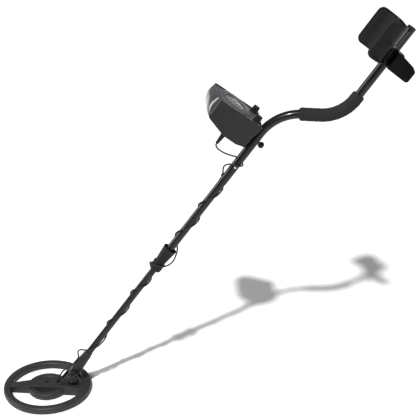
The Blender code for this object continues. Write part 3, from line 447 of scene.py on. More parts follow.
def shown(name, mesh, host, look, rounding, segments, angle):
    """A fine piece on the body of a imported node, with its edges sharp or rounded past an angle."""
    mesh.materials.clear()
    mesh.materials.append(LOOKS[look])
    mesh.shade_smooth()
    if not rounding:
        mesh.set_sharp_from_angle(angle=math.radians(angle))
    obj = bpy.data.objects.new(name, mesh)
    bpy.context.scene.collection.objects.link(obj)
    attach(obj, BODY_OF[host])
    if rounding:
        edge = obj.modifiers.new("edge", "BEVEL")
        edge.width = rounding
        edge.segments = segments
        edge.limit_method = "ANGLE"
        edge.angle_limit = math.radians(angle)
        edge.harden_normals = True
    return obj


def finished(name, mesh, stands_for, rounding=0.0, segments=3, angle=28):
    """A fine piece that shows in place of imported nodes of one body."""
    host = stands_for[0]
    obj = shown(name, mesh, host, SLOT_OF[host], rounding, segments, angle)
    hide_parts(*stands_for)
    return obj


def extra(name, mesh, host, look, rounding=0.0, angle=30):
    """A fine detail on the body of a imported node, beside what is there."""
    return shown(name, mesh, host, look, rounding, 2, angle)


def welded(node):
    """The node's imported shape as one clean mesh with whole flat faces."""
    bm = bmesh.new()
    bm.from_mesh(NODES[node].data)
    bm.transform(NODES[node].matrix_world)
    bmesh.ops.remove_doubles(bm, verts=bm.verts, dist=WELD)
    bmesh.ops.dissolve_limit(bm, angle_limit=FLAT, verts=bm.verts, edges=bm.edges)
    mesh = mesh_from(bm, node + "_form")
    for leftover in ("custom_normal", "sharp_edge", "sharp_face"):
        if leftover in mesh.attributes:
            mesh.attributes.remove(mesh.attributes[leftover])
    return mesh


def lathe(profile, matrix, steps, flutes=0, depth=0.0, zone=(0.0, 0.0)):
    """A turned mesh about matrix's Z; flutes cut into the part of it inside the zone of heights."""
    bm = bmesh.new()
    rings = []
    for radius, height in profile:
        if radius < 1e-7:
            rings.append([bm.verts.new(matrix @ Vector((0, 0, height)))])
            continue
        row = []
        for step in range(steps):
            turn = 2 * math.pi * step / steps
            cut = 0.0
            if flutes and zone[0] <= height <= zone[1]:
                cut = depth * (0.5 - 0.5 * math.cos(turn * flutes)) ** 2
            row.append(
                bm.verts.new(
                    matrix
                    @ Vector(((radius - cut) * math.cos(turn), (radius - cut) * math.sin(turn), height))
                )
            )
        rings.append(row)
    for one, two in zip(rings, rings[1:]):
        for step in range(steps):
            a, b = one[step % len(one)], one[(step + 1) % len(one)]
            c, d = two[(step + 1) % len(two)], two[step % len(two)]
            corners = list(dict.fromkeys((a, b, c, d)))
            if len(corners) > 2:
                bm.faces.new(corners)
    bmesh.ops.recalc_face_normals(bm, faces=bm.faces)
    return mesh_from(bm, "lathe")


def piped(points, diameter, wall, sides=10):
    """An open tube with a wall, swept along world points."""
    bm = bmesh.new()
    rings = []
    count = 4 * sides
    heading_of = [
        (points[min(i + 1, len(points) - 1)] - points[max(i - 1, 0)]).normalized()
        for i in range(len(points))
    ]
    for radius in (diameter / 2, diameter / 2 - wall):
        rows = []
        for point, ahead in zip(points, heading_of):
            side = Vector((0, 1, 0))
            up = side.cross(ahead).normalized()
            rows.append(
                [
                    bm.verts.new(
                        point
                        + radius * math.cos(2 * math.pi * k / count) * up
                        + radius * math.sin(2 * math.pi * k / count) * side
                    )
                    for k in range(count)
                ]
            )
        rings.append(rows)
    outer, inner = rings
    for rows in rings:
        for one, two in zip(rows, rows[1:]):
            for k in range(count):
                j = (k + 1) % count
                bm.faces.new((one[k], one[j], two[j], two[k]))
    for end in (0, -1):
        for k in range(count):
            j = (k + 1) % count
            bm.faces.new((outer[end][k], outer[end][j], inner[end][j], inner[end][k]))
    bmesh.ops.recalc_face_normals(bm, faces=bm.faces)
    return mesh_from(bm, "pipe")


# ---------------------------------------------------------------- tubes
def along(points, start, length, count):
    """Points spaced evenly by distance along a line of points."""
    marks = [start + length * i / count for i in range(count + 1)]
    spots = []
    travelled = 0.0
    for first, second in zip(points, points[1:]):
        reach = (second - first).length
        while marks and travelled + reach >= marks[0]:
            spots.append(first.lerp(second, (marks.pop(0) - travelled) / reach))
        travelled += reach
    return spots


def build_tubes():
    """The three tubes with their walls."""
    finished("upper_rod", piped(ROD_LINE, 2 * ROD_R, ROD_WALL), ["s_rod"])
    for name, radius, low, high, node in (
        ("inner_tube", MIDDLE_TUBE_R, LOCK_START + NUT_LENGTH - 0.0009, MIDDLE_TUBE_TOP, "middle_tube"),
        ("lower_rod", LOWER_TUBE_R, *LOWER_TUBE_SPAN, "lower_tube"),
    ):
        finished(name, piped([on_stem(low), on_stem(high)], 2 * radius, TUBE_WALL), [node])


def build_grip():
    """The foam sleeve: rolled-in ends and faint waves where it is stretched over the bends."""
    total = sum((b - a).length for a, b in zip(ROD_LINE, ROD_LINE[1:]))
    start = total - ARM_LENGTH - GRIP_LENGTH + GRIP_BACK
    line = along(ROD_LINE, start, GRIP_LENGTH, 90)
    mesh = piped(line, 2 * GRIP_R, GRIP_R - ROD_R - 0.0005, 12)
    ends = (line[0], line[-1])
    for vertex in mesh.vertices:
        near = min(range(len(line)), key=lambda i: (vertex.co - line[i]).length_squared)
        out = vertex.co - line[near]
        if out.length < GRIP_R - 0.001:
            continue
        gap = min((line[near] - end).length for end in ends)
        roll = max(0.0, 1.0 - gap / ROLL_LENGTH)
        wave = WAVE_DEPTH * math.sin(near * 0.9) * math.sin(near * 0.23 + vertex.co.y * 90)
        vertex.co -= out.normalized() * (ROLL_DEPTH * roll * roll + 0.00025 + wave)
    grip = finished("foam_sleeve", mesh, ["foam_grip"], angle=SOFT_ANGLE)


# ---------------------------------------------------------------- solids made with Booleans
def evaluated(obj):
    """The mesh of obj with its modifiers, and obj removed."""
    graph = bpy.context.evaluated_depsgraph_get()
    mesh = bpy.data.meshes.new_from_object(obj.evaluated_get(graph))
    bpy.data.objects.remove(obj, do_unlink=True)
    return mesh


def combined(first, steps):
    """first, with each (operation, mesh) applied in turn."""
    for operation, mesh in steps:
        obj = bpy.data.objects.new("first", first)
        tool = bpy.data.objects.new("tool", mesh)
        for item in (obj, tool):
            bpy.context.scene.collection.objects.link(item)
        cut = obj.modifiers.new("cut", "BOOLEAN")
        cut.operation = operation
        cut.object = tool
        cut.solver = "EXACT"
        first = evaluated(obj)
        bpy.data.objects.remove(tool, do_unlink=True)
    return first


def prism(outline, low, high, matrix=Matrix.Identity(4)):
    """A flat outline in matrix's XY plane, extruded between two heights."""
    bm = bmesh.new()
    rows = [[bm.verts.new(matrix @ Vector((x, y, z))) for x, y in outline] for z in (low, high)]
    count = len(outline)
    for k in range(count):
        j = (k + 1) % count
        bm.faces.new((rows[0][k], rows[0][j], rows[1][j], rows[1][k]))
    bm.faces.new(rows[0])
    bm.faces.new(rows[1])
    bmesh.ops.recalc_face_normals(bm, faces=bm.faces)
    return mesh_from(bm, "prism")


def block(size, matrix):
    """A box of the given size, centred on matrix."""
    bm = bmesh.new()
    bmesh.ops.create_cube(bm, size=1.0, matrix=matrix @ Matrix.Diagonal((*size, 1.0)))
    return mesh_from(bm, "block")


def close_skins(bm, outer, inner):
    """Faces on two grids of points, and round the rim between them."""
    for grid in (outer, inner):
        for one, two in zip(grid, grid[1:]):
            for j in range(len(one) - 1):
                bm.faces.new((one[j], one[j + 1], two[j + 1], two[j]))
    for i in (0, -1):
        for j in range(len(outer[0]) - 1):
            bm.faces.new((outer[i][j], outer[i][j + 1], inner[i][j + 1], inner[i][j]))
    for j in (0, -1):
        for i in range(len(outer) - 1):
            bm.faces.new((outer[i][j], outer[i + 1][j], inner[i + 1][j], inner[i][j]))
    bmesh.ops.recalc_face_normals(bm, faces=bm.faces)


def arc(centre, radius, start, end, count):
    """Points on an arc between two angles in degrees."""
    angles = [math.radians(start + (end - start) * i / count) for i in range(count + 1)]
    return [(centre[0] + radius * math.cos(a), centre[1] + radius * math.sin(a)) for a in angles]


def closed_lathe(profile, matrix, steps):
    """A ring turned from a closed section."""
    return lathe([*profile, profile[0]], matrix, steps)


# ---------------------------------------------------------------- search coil
def ring_section(inner, outer, top, rounding, bottom):
    """Section of a coil housing: rounded shoulders and undercut lower edges."""
    low = SOLE_THICKNESS + 1.2 * UNDERCUT
    shoulder = [(rounding * (1 - math.sin(a)), rounding * (1 - math.cos(a)))
                for a in (0.0, 0.35, 0.75, 1.15, math.pi / 2)]
    outside = [(outer - x, top - y) for x, y in shoulder]
    inside = [(inner + x, top - y) for x, y in reversed(shoulder)]
    outside += [(outer, low), (outer - 0.0012, low - 0.0022), (outer - UNDERCUT, SOLE_THICKNESS)]
    inside = [(inner + UNDERCUT, bottom), (inner + UNDERCUT, SOLE_THICKNESS),
              (inner + 0.0012, low - 0.0022), (inner, low), *inside]
    return [*outside, (outer - UNDERCUT, bottom), *inside]


def build_coil():
    """The coil's two rings and sloped bridge, the seams of its sole and the sole's screws."""
    origin = Matrix.Identity(4)
    front = BAR_HALF_WIDTH - BAR_TAPER * BAR_REACH
    rear = BAR_HALF_WIDTH + BAR_TAPER * BAR_REACH
    outline = [(-BAR_REACH, -front), (BAR_REACH, -rear), (BAR_REACH, rear), (-BAR_REACH, front)]
    bar = prism(outline, SOLE_THICKNESS + 0.0003, BAR_TOP)
    # The cutter's lower face rises towards +x and meets the bridge's top at BAR_SLOPE_END
    slope = math.atan2(BAR_TOP - RING_TOP + 0.0006, BAR_SLOPE_LENGTH)
    half, middle = 0.010, -0.120
    high = BAR_TOP + half / math.cos(slope) + math.tan(slope) * (middle - BAR_SLOPE_END)
    wedge = block((0.24, 0.10, 2 * half),
                  Matrix.Translation((middle, 0, high)) @ Matrix.Rotation(-slope, 4, "Y"))
    fall = math.atan2(BAR_TOP - RING_TOP + 0.0012, BAR_REACH - BAR_FALL_START)
    ramp = block((0.08, 0.10, 0.04),
                 Matrix.Translation((BAR_FALL_START, 0, BAR_TOP)) @ Matrix.Rotation(fall, 4, "Y")
                 @ Matrix.Translation((0.04, 0, 0.02)))
    floor = SOLE_THICKNESS + 0.0003
    ring = closed_lathe(
        ring_section(RING_INNER, RING_OUTER, RING_TOP, 0.0046, floor), origin, 144
    )
    core = closed_lathe(
        ring_section(CORE_INNER, CORE_OUTER, CORE_TOP, 0.0030, floor), origin, 96
    )
    dish = lathe([(0.0, BAR_TOP + 0.004), (0.0060, BAR_TOP + 0.004), (0.0058, BAR_TOP - 0.0048),
                  (0.0050, BAR_TOP - 0.0055), (0.0, BAR_TOP - 0.0055)], origin, 40)
    bar = combined(bar, [("DIFFERENCE", wedge), ("DIFFERENCE", ramp), ("DIFFERENCE", dish)])
    finished("coil_bridge", bar, ["coil_shell"], 0.0016, 3, 30)
    extra("coil_ring_housing", ring, "coil_shell", "coil_plastic")
    extra("coil_inner_ring", core, "coil_shell", "coil_plastic")
    for name, inner, outer in (("ring_seam", RING_INNER, RING_OUTER),
                               ("core_seam", CORE_INNER, CORE_OUTER)):
        seam = [(outer - UNDERCUT + 0.0004, 0.0003), (outer - UNDERCUT + 0.0004, SOLE_THICKNESS),
                (inner + UNDERCUT - 0.0004, SOLE_THICKNESS), (inner + UNDERCUT - 0.0004, 0.0003)]
        extra(name, closed_lathe(seam, origin, 96), "coil_sole", "sole_plastic")
    for angle in range(0, 360, 45):
        where = Matrix.Rotation(math.radians(angle + 45 / 2), 4, "Z")
        radius = (RING_INNER + RING_OUTER) / 2
        screw = lathe([(0.0, 0.0001), (0.0016, 0.0001), (0.0022, 0.0004), (0.0022, 0.0012)],
                      where @ Matrix.Translation((radius, 0, 0)), 16)
        extra(f"sole_screw_{angle}", screw, "coil_sole", "steel")


# ---------------------------------------------------------------- knobs, lock and plug
def stem_place(x, y, z, turn=None):
    """A frame at a place in the stem's own axes, turned if asked."""
    matrix = STEM @ Matrix.Translation((x, y, z))
    return matrix @ turn if turn else matrix


def build_knobs():
    top = FACE_AT - PANEL_SINK
    profile = [(0.0, 0.0155), (0.0056, 0.0155), (0.0066, 0.0153), (0.0074, 0.0146),
               (0.0077, 0.0120), (0.0080, 0.0070), (0.0082, 0.0032), (0.0090, 0.0024),
               (0.0092, 0.0002), (0.0, 0.0002)]
    for side, name, turn in ((1, "sensitivity_knob", 50), (-1, "mode_knob", -35)):
        where = stem_place(KNOB_ROW, side * KNOB_Y, top + 0.0006)
        finished(name + "_fluted", lathe(profile, where, 108, 18, 0.0009, (0.003, 0.0148)), [name])
        dial = where @ Matrix.Rotation(math.radians(turn), 4, "Z")
        line = block((0.0052, 0.0010, 0.0003), dial @ Matrix.Translation((-0.0036, 0, 0.0156)))
        extra(name + "_pointer", line, name, "marking")
        for step in range(11):
            angle = math.radians(30 * step - 150)
            tick = stem_place(KNOB_ROW, side * KNOB_Y, top) @ Matrix.Rotation(angle, 4, "Z")
            size = (0.0016 if step % 5 else 0.0024, 0.0005, 0.00015)
            mark = block(size, tick @ Matrix.Translation((-0.0112, 0, 0.0)))
            extra(f"{name}_tick_{step}", mark, "face_panel", "marking")
    clamp = [(0.0, 0.0128), (0.0030, 0.0127), (0.0055, 0.0118), (0.0072, 0.0095),
             (0.0076, 0.0065), (0.0068, 0.0030), (0.0040, 0.0012), (0.0040, 0.0), (0.0, 0.0)]
    across = stem_place(CLAMP_SEAT, 0, CLAMP_AT, Matrix.Rotation(math.pi / 2, 4, "Y"))
    finished("clamp_knob_fluted", lathe(clamp, across, 96, 12, 0.0008, (0.003, 0.0115)),
             ["clamp_knob"])
    near = Matrix.Translation(PIVOT) @ Matrix.Rotation(math.pi / 2, 4, "X")
    base = EAR_OUTER + 0.0003
    star = [(0.0, base + 0.0135), (0.0040, base + 0.0135), (0.0060, base + 0.0128),
            (0.0105, base + 0.0120), (0.0124, base + 0.0106), (0.0128, base + 0.0070),
            (0.0124, base + 0.0040), (0.0085, base + 0.0028), (0.0080, base), (0.0, base)]
    finished("clevis_star_knob",
             lathe(star, near, 112, 7, 0.0034, (base + 0.0038, base + 0.0122)), ["clevis_knob"])
    cap = lathe([(0.0, base + 0.0147), (0.0026, base + 0.0144), (0.0036, base + 0.0136),
                 (0.0036, base + 0.0120)], near, 32)
    extra("clevis_knob_insert", cap, "clevis_knob", "clevis_plastic")


def build_lock():
    start = LOCK_START
    bore = LOWER_TUBE_R + 0.0004
    nut = [(0.0135, start + NUT_LENGTH), (COLLAR_R, start + NUT_LENGTH - 0.0012),
           (COLLAR_R, start + NUT_LENGTH - 0.0034), (0.0142, start + NUT_LENGTH - 0.0038),
           (0.0145, start + 0.0120), (COLLAR_R, start + 0.0042), (COLLAR_R, start + 0.0025),
           (0.0132, start), (bore, start), (bore, start + 0.0040), (0.0113, start + 0.0040),
           (0.0113, start + NUT_LENGTH)]
    mesh = lathe([*nut, nut[0]], STEM, 120, 20, 0.0007, (start + 0.0035, start + 0.0185))
    finished("lock_collar", mesh, ["lock_nut"])
    waist = start + NUT_LENGTH
    top = start + LOCK_LENGTH
    outer = MIDDLE_TUBE_R + 0.0003
    sleeve = [(0.0160, top), (LOCK_RIM_R, top - 0.0004), (LOCK_RIM_R, top - 0.0016),
              (0.0160, top - 0.003),
              (0.0142, top - 0.020), (0.0128, waist + 0.008), (0.0124, waist + 0.004),
              (0.0124, waist + 0.0003), (outer, waist + 0.0003), (outer, top - 0.010),
              (0.0140, top - 0.008), (0.0148, top - 0.0004), (0.0151, top)]
    finished("lock_cone", lathe([*sleeve, sleeve[0]], STEM, 96), ["lock_sleeve"])


def build_plug():
    here = stem_place(SOCKET_X, 0, SOCKET_Z)
    boot = [(0.0, 0.0060), (0.0042, 0.0060), (0.0042, -0.0139), (0.0052, -0.0141),
            (0.0056, -0.0148)]
    for groove in range(5):
        low = -0.0170 - 0.0036 * groove
        width = 0.0055 - 0.00036 * groove
        boot += [(width, low), (width - 0.0008, low - 0.0005), (width - 0.0008, low - 0.0014),
                 (width - 0.0001, low - 0.0019)]
    boot += [(0.0036, -0.0362), (0.0033, -0.0367), (0.0, -0.0367)]
    finished("plug_boot", lathe(boot, here, 40), ["coil_plug"])
    ring = [(0.0066, -0.0040), (0.0072, -0.0048), (0.0072, -0.0122), (0.0064, -0.0135),
            (0.0045, -0.0135), (0.0045, -0.0040)]
    finished("plug_screw_ring", lathe([*ring, ring[0]], here, 96, 24, 0.0005, (-0.0125, -0.0045)),
             ["plug_ring"])


# ---------------------------------------------------------------- meter
def build_meter():
    """Arc of ticks on the dial, a finer bezel and a domed window."""
    top = FACE_AT - PANEL_SINK
    hub = (METER_AT + NEEDLE_BACK, 0.0)
    for step in range(DIAL_STEPS + 1):
        angle = math.radians(DIAL_SWEEP * (step / DIAL_STEPS - 0.5))
        long = step % 5 == 0
        size = (0.0042 if long else 0.0024, 0.0008 if long else 0.0005, 0.0001)
        where = (stem_place(*hub, top - DIAL_DEPTH) @ Matrix.Rotation(angle, 4, "Z")
                 @ Matrix.Translation((-DIAL_R + size[0] / 2, 0, 0)))
        extra(f"dial_tick_{step}", block(size, where), "meter_dial", "ink")
    rim = [(0.0262, 0.0045), (0.0272, 0.0047), (0.0290, 0.0046), (0.0386, 0.0041),
           (0.0402, 0.0034), (0.0414, 0.0022), (0.0418, 0.0), (0.0250, 0.0), (0.0250, 0.0035)]
    where = stem_place(METER_AT, 0, top + 0.0003) @ Matrix.Diagonal((*OVAL, 1.0))
    finished("bezel_ring", lathe([*rim, rim[0]], where, 120), ["meter_bezel"])
    glass = [(0.0, 0.0034), (0.0080, 0.0033), (0.0160, 0.0028), (0.0215, 0.0021), (0.0244, 0.0014),
             (0.0244, 0.0004), (0.0, 0.0004)]
    finished("lens", lathe(glass, where, 96), ["meter_window"])


# ---------------------------------------------------------------- arm cuff
def cuff_points(offset, height, count=14):
    """The cuff's U across the arm, moved out by offset, from the near edge to the far one."""
    half = CUFF_HALF_WIDTH + offset
    floor = CUFF_FLOOR - offset
    corner = CUFF_CORNER + offset
    far = arc((half - corner, floor + corner), corner, -90, 0, count)
    far.append((half, height))
    return [(-y, h) for y, h in reversed(far)] + far


def band(inner, outer, low, high):
    """A strip between two lines of (y, height) points, from low to high along the arm."""
    bm = bmesh.new()
    loops = [
        [bm.verts.new(ARM @ Vector((-h, y, z))) for y, h in line]
        for line, z in ((inner, low), (outer, low), (outer, high), (inner, high))
    ]
    for k in range(len(inner) - 1):
        for one, two in zip(loops, [*loops[1:], loops[0]]):
            bm.faces.new((one[k], one[k + 1], two[k + 1], two[k]))
    for k in (0, -1):
        bm.faces.new([loop[k] for loop in loops])
    bmesh.ops.recalc_face_normals(bm, faces=bm.faces)
    return mesh_from(bm, "band")


def pad_mesh():
    """The pad: a foam sheet with rounded corners and thin rolled edges, in the cuff's U."""
    line = cuff_points(-CUFF_WALL - 0.0006, CUFF_HEIGHT - 0.004, 16)
    reach = [0.0]
    for first, second in zip(line, line[1:]):
        reach.append(reach[-1] + math.dist(first, second))
    total = reach[-1]
    columns, rows = 96, 48
    low, high = CUFF_SPAN[0] + 0.004, CUFF_SPAN[1] - 0.004
    bm = bmesh.new()
    skins = []
    for side in (0, 1):
        grid = []
        for i in range(columns + 1):
            u = total * i / columns
            edge = max(0.0, min(u, total - u))
            trim = 0.0
            if edge < PAD_CORNER:
                trim = PAD_CORNER - math.sqrt(PAD_CORNER**2 - (PAD_CORNER - edge) ** 2)
            k = max(j for j in range(len(reach) - 1) if reach[j] <= u + 1e-9)
            part = (u - reach[k]) / (reach[k + 1] - reach[k])
            y = line[k][0] + (line[k + 1][0] - line[k][0]) * part
            h = line[k][1] + (line[k + 1][1] - line[k][1]) * part
            ahead = Vector((line[k + 1][0] - line[k][0], line[k + 1][1] - line[k][1])).normalized()
            inward = Vector((-ahead.y, ahead.x))
            row = []
            for j in range(rows + 1):
                z = low + trim + (high - low - 2 * trim) * j / rows
                rim = min(edge, (z - low - trim), (high - trim - z))
                swell = min(1.0, max(rim, 0.0) / 0.0030)
                thick = PAD_THICKNESS * (0.35 + 0.65 * math.sqrt(swell * (2 - swell))) if side else 0.0
                place_at = Vector((y, h)) + inward * thick
                row.append(bm.verts.new(ARM @ Vector((-place_at.y, place_at.x, z))))
            grid.append(row)
        skins.append(grid)
    close_skins(bm, *skins)
    return mesh_from(bm, "pad")


def build_cuff():
    """The cuff's ribs and rolled rims, and the pad inside it."""
    ribs = ((-0.0495, 0.0060, 0.034), (-0.0905, 0.0035, 0.026))
    for number, (z, width, height) in enumerate(ribs):
        strap = band(cuff_points(-0.0004, height), cuff_points(0.0018, height), z, z + width)
        extra(f"cuff_rib_{number}", strap, "arm_cuff", "cuff_plastic", 0.0006)
    for side, name in ((-1, "near"), (1, "far")):
        edge = CUFF_HALF_WIDTH - CUFF_WALL / 2
        top, (low, high) = CUFF_HEIGHT - RIM_R, (CUFF_SPAN[0] + RIM_R, CUFF_SPAN[1] - RIM_R)
        bend_at = top - RIM_CORNER
        outline = [(RIM_FROM, low), *arc((bend_at, low + RIM_CORNER), RIM_CORNER, 270, 360, 10),
                   *arc((bend_at, high - RIM_CORNER), RIM_CORNER, 0, 90, 10), (RIM_FROM, high)]
        line = [ARM @ Vector((-h, side * edge, z)) for h, z in outline]
        rim = tube_mesh("rim", line, RIM_R, 4)
        extra(f"cuff_rim_{name}", rim, "arm_cuff", "cuff_rim", angle=RIM_ANGLE)
    pad = finished("arm_pad", pad_mesh(), ["cuff_pad"], angle=SOFT_ANGLE)
    pad.data.materials[0] = LOOKS["pad_cloth"]


# ---------------------------------------------------------------- pieces kept as packed, edges rounded
ROUNDED = {
    "coil_sole": 0.0005,
    "coil_bracket": 0.0008,
    "clevis_bolt": 0.0006,
    "stem_tip": 0.0004,
    "box_shell": 0.0011,
    "face_panel": 0.0003,
    "box_saddle": 0.0006,
    "arm_cuff": 0.0008,
    "cuff_saddle": 0.0008,
    "rod_end_cap": 0.0006,
    "coil_socket": 0.0003,
    "cable_gland": 0.0003,
    "snap_button": 0.0003,
    "cuff_bolt_front": 0.0003,
    "cuff_bolt_rear": 0.0003,
    "cuff_nut_front": 0.0003,
    "cuff_nut_rear": 0.0003,
    "toggle_switch": 0.0002,
    "toggle_lever": 0.0002,
}


def rounded_stand():
    """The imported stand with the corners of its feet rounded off."""
    corner = STAND_CORNER
    tip, (low, high) = STAND_TIP + 0.0001, STAND_SPAN
    back, side, past_top = -0.02, 0.06, -0.050
    outline = [(back, low), *arc((tip - corner, low + corner), corner, 270, 360, 8),
               *arc((tip - corner, high - corner), corner, 0, 70, 8), (0.030, past_top),
               (back, past_top)]
    keep = prism(outline, -side, side, ARM @ Matrix.Rotation(math.pi / 2, 4, "X"))
    return combined(welded("stand"), [("INTERSECT", keep)])


def round_packed():
    finished("stand_form", rounded_stand(), ["stand"], 0.0008)
    for node, width in ROUNDED.items():
        finished(node + "_form", welded(node), [node], width)


# ---------------------------------------------------------------- the wound cable
# Where the cable crosses the stem's underside and upper side in turn, going up the stem
CROSSINGS = (0.1292, 0.1700, 0.2250, 0.2694, 0.3160, 0.3560, 0.4077, 0.4529, 0.5070, 0.5400,
             0.5960, 0.6300)
# The half turn after this crossing goes over the lock's front: level at the waist, then well clear
LOCK_TURN = 5
LOCK_ROUTE = (
    (0.3590, 0.0121, -0.0121),
    (0.3640, 0.0000, -0.0175),
    (0.3730, -0.0130, -0.0155),
    (0.3880, -0.0215, -0.0085),
)
# From the gland up to the free loop on the stem's upper side: (up the stem, across, y)
FOOT_ROUTE = (
    (-0.0310, 0.0209, 0.0),
    (-0.0261, 0.0220, 0.0),
    (-0.0165, 0.0222, -0.001),
    (-0.0060, 0.0230, -0.002),
    (0.0080, 0.0190, -0.003),
    (0.0250, 0.0150, -0.004),
    (0.0400, 0.0138, -0.004),
    (0.0500, 0.0152, -0.005),
    (0.0570, 0.0210, -0.006),
    (0.0645, 0.0250, -0.007),
    (0.0720, 0.0228, -0.009),
    (0.0780, 0.0150, -0.0115),
    (0.0860, 0.0055, -0.0130),
    (0.1000, -0.0035, -0.0110),
    (0.1150, -0.0085, -0.0070),
)
# From the last of these crossings, over a loose loop and a last turn, to the plug
HEAD_ROUTE = (
    (0.6360, 0.0155, 0.003),
    (0.6430, 0.0190, 0.001),
    (0.6510, 0.0185, -0.003),
    (0.6580, 0.0138, -0.0075),
    (0.6625, 0.0065, -0.0112),
    (0.6665, -0.0015, -0.0127),
    (0.6693, -0.0095, -0.0087),
    (0.6712, -0.0127, 0.0),
    (0.6727, -0.0088, 0.0094),
    (0.6742, 0.0005, 0.0127),
    (0.6750, 0.0105, 0.0085),
    (0.6735, 0.0200, 0.0030),
    (0.6712, 0.0330, 0.0),
    (0.6698, 0.0450, 0.0),
    (0.6702, 0.0550, 0.0),
    (0.6735, 0.0625, 0.0),
    (0.6784, 0.0650, 0.0),
    (0.6840, 0.0650, 0.0),
)
# The cable's gaps to the tubes and the lock, and how far before a wider part it moves out
TUBE_GAP, LOCK_GAP, STEP_BEFORE = 0.0003, 0.0008, 0.004
CABLE_STEPS = 8


def wound_radius(s):
    """Distance of the cable's centre from the stem's axis: it lies on the tubes, loose at the lock."""
    clear_of_tube = CABLE_D / 2 + TUBE_GAP
    clear_of_lock = CABLE_D / 2 + LOCK_GAP
    if s < LOCK_START - STEP_BEFORE:
        return LOWER_TUBE_R + clear_of_tube
    if s < LOCK_START + NUT_LENGTH:
        return COLLAR_R + clear_of_lock
    if s < LOCK_START + LOCK_LENGTH + LOCK_REACH:
        return LOCK_RIM_R + 0.0002 + clear_of_lock
    if s < ROD_START - STEP_BEFORE:
        return MIDDLE_TUBE_R + clear_of_tube
    return ROD_R + clear_of_tube


def wound_line():
    """The turns between the first crossing and the last, a point every eighth of a turn."""
    points = []
    last = len(CROSSINGS) - 1
    for step in range(4 * last + 1):
        k, part = divmod(step, 4)
        if k == LOCK_TURN and part:
            if part == 1:
                points += [on_stem(*place_at) for place_at in LOCK_ROUTE]
            continue
        low = CROSSINGS[k]
        s = low if k == last else low + (CROSSINGS[k + 1] - low) * part / 4
        angle = math.pi * step / 4
        radius = wound_radius(s)
        points.append(on_stem(s, -radius * math.cos(angle), radius * math.sin(angle)))
    return points


def smooth_line(points):
    """Close points on a smooth curve through the given ones, CABLE_STEPS to each."""
    dense = []
    ends = [2 * points[0] - points[1], *points, 2 * points[-1] - points[-2]]
    for a, b, c, d in zip(ends, ends[1:], ends[2:], ends[3:]):
        for step in range(CABLE_STEPS):
            t = step / CABLE_STEPS
            dense.append(
                0.5 * (2 * b + (c - a) * t + (2 * a - 5 * b + 4 * c - d) * t**2
                       + (3 * b - a - 3 * c + d) * t**3)
            )
    return dense + [points[-1]]


def mesh_object(name, mesh, look):
    """A piece that bends between two bodies, so it rides on neither."""
    obj = bpy.data.objects.new(name, mesh)
    mesh.materials.clear()
    mesh.materials.append(look)
    mesh.shade_smooth()
    mesh.set_sharp_from_angle(angle=math.radians(EDGE_ANGLE))
    bpy.context.scene.collection.objects.link(obj)
    return obj


def tube_mesh(name, points, radius, sides=3):
    """The welded mesh of a round tube along points."""
    curve = bpy.data.curves.new(name, "CURVE")
    curve.dimensions = "3D"
    curve.bevel_depth = radius
    curve.bevel_resolution = sides
    curve.use_fill_caps = True
    spline = curve.splines.new("POLY")
    spline.points.add(len(points) - 1)
    for point, where in zip(spline.points, points):
        point.co = (*where, 1.0)
    guide = bpy.data.objects.new(name + "_guide", curve)
    bpy.context.scene.collection.objects.link(guide)
    graph = bpy.context.evaluated_depsgraph_get()
    mesh = bpy.data.meshes.new_from_object(guide.evaluated_get(graph))
    bpy.data.objects.remove(guide, do_unlink=True)
    bm = bmesh.new()
    bm.from_mesh(mesh)
    bmesh.ops.remove_doubles(bm, verts=bm.verts, dist=TUBE_WELD)
    bm.to_mesh(mesh)
    bm.free()
    return mesh


def build_cable():
    """The cable in two lengths: the lead at the foot, and the turns up to the plug."""
    turns = wound_line()
    foot = [on_stem(s, across, y) for s, across, y in FOOT_ROUTE] + [turns[0]]
    head = turns + [on_stem(s, across, y) for s, across, y in HEAD_ROUTE]
    joined = smooth_line(foot + head[1:])
    split = CABLE_STEPS * (len(foot) - 1)
    lower, upper = joined[: split + 1], joined[split:]
    look = LOOKS["cable"]
    foot_piece = mesh_object("cable_foot_lead", tube_mesh("foot", lower, CABLE_D / 2), look)
    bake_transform(foot_piece)
    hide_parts("cable_foot")
    wound = mesh_object("cable_turns", tube_mesh("turns", upper, CABLE_D / 2), look)
    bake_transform(wound)
    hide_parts("cable_wound")


def build_snap_leaf():
    """The snap button's leaf spring, as a piece on no body."""
    leaf = mesh_object("snap_leaf", welded("snap_spring"), LOOKS["steel"])
    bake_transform(leaf)
    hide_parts("snap_spring")


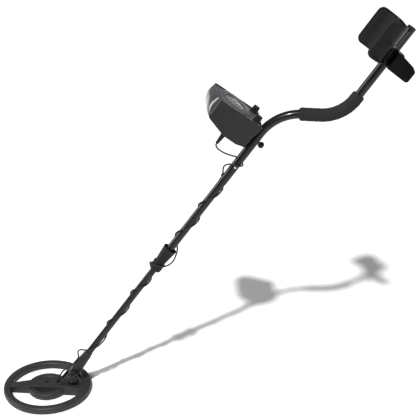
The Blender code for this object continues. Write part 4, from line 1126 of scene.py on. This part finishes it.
def nose_shell(half_width, bottom, reach):
    """Rows of world points on the bulging nose, from the seam outwards by up to reach."""
    rows = []
    for i in range(NOSE_ROWS + 1):
        part = i / NOSE_ROWS
        height = bottom + (FACE_AT - bottom) * (1 - math.cos(part * math.pi / 2))
        level = NOSE_SIDE[0][1] + (height - bottom) / (FACE_AT - bottom) * (FACE_AT - NOSE_SIDE[0][1])
        bulge = curve_at(NOSE_SIDE, level)
        row = []
        for j in range(NOSE_COLUMNS + 1):
            turn = math.pi * j / NOSE_COLUMNS
            y = -math.cos(turn)
            round_off = max(0.0, 1.0 - abs(y) ** 5) ** 0.5
            row.append(stem_place(COVER_SEAM - reach * bulge * round_off, y * half_width, height)
                       .translation)
        rows.append(row)
    return rows


def curve_at(points, level):
    """Share of the nose's reach at a height, on a smooth line through (share, height) points."""
    line = smooth_line([Vector((share, height, 0.0)) for share, height in points])
    level = max(level, line[0].y)
    for one, two in zip(line, line[1:]):
        if one.y <= level <= two.y:
            return one.x + (two.x - one.x) * (level - one.y) / (two.y - one.y)
    return line[-1].x


def build_nose():
    """The battery cover as one smooth bulge with a wall, in a lighter plastic than the box: painted
    sheen.
    """
    bm = bmesh.new()
    skins = []
    for half, low, reach in ((BOX_HALF_WIDTH, NOSE_SIDE[0][1], NOSE_REACH),
                             (BOX_HALF_WIDTH - BOX_WALL, NOSE_SIDE[0][1] + BOX_WALL,
                              NOSE_REACH - BOX_WALL)):
        skins.append([[bm.verts.new(p) for p in row] for row in nose_shell(half, low, reach)])
    close_skins(bm, *skins)
    nose = finished("cover_nose", mesh_from(bm, "nose"), ["battery_cover"], angle=SOFT_ANGLE)
    # The nose gets the lighter plastic: painted sheen on the battery cover.
    nose.data.materials[0] = LOOKS["nose_painted_sheen"]


def build_speaker_slots():
    """A row of sound slots on the box's far side, drawn as thin near-black strips: painted shade in
    place of the hollow slots.
    """
    for step in range(SLOT_COUNT):
        height = SLOTS_FROM[1] + SLOT_PITCH * step
        slot = block(SLOT_SIZE, stem_place(SLOTS_FROM[0], BOX_HALF_WIDTH, height))
        # Each strip is painted shade standing in for a hollow slot.
        extra(f"speaker_slot_shade_{step}", slot, "box_shell", "ink")


build_camera()
build_studio()
dress_frame()
build_tubes()
build_grip()
build_cable()
build_coil()
build_knobs()
build_lock()
build_plug()
build_meter()
build_cuff()
build_snap_leaf()
build_nose()
build_speaker_slots()
round_packed()
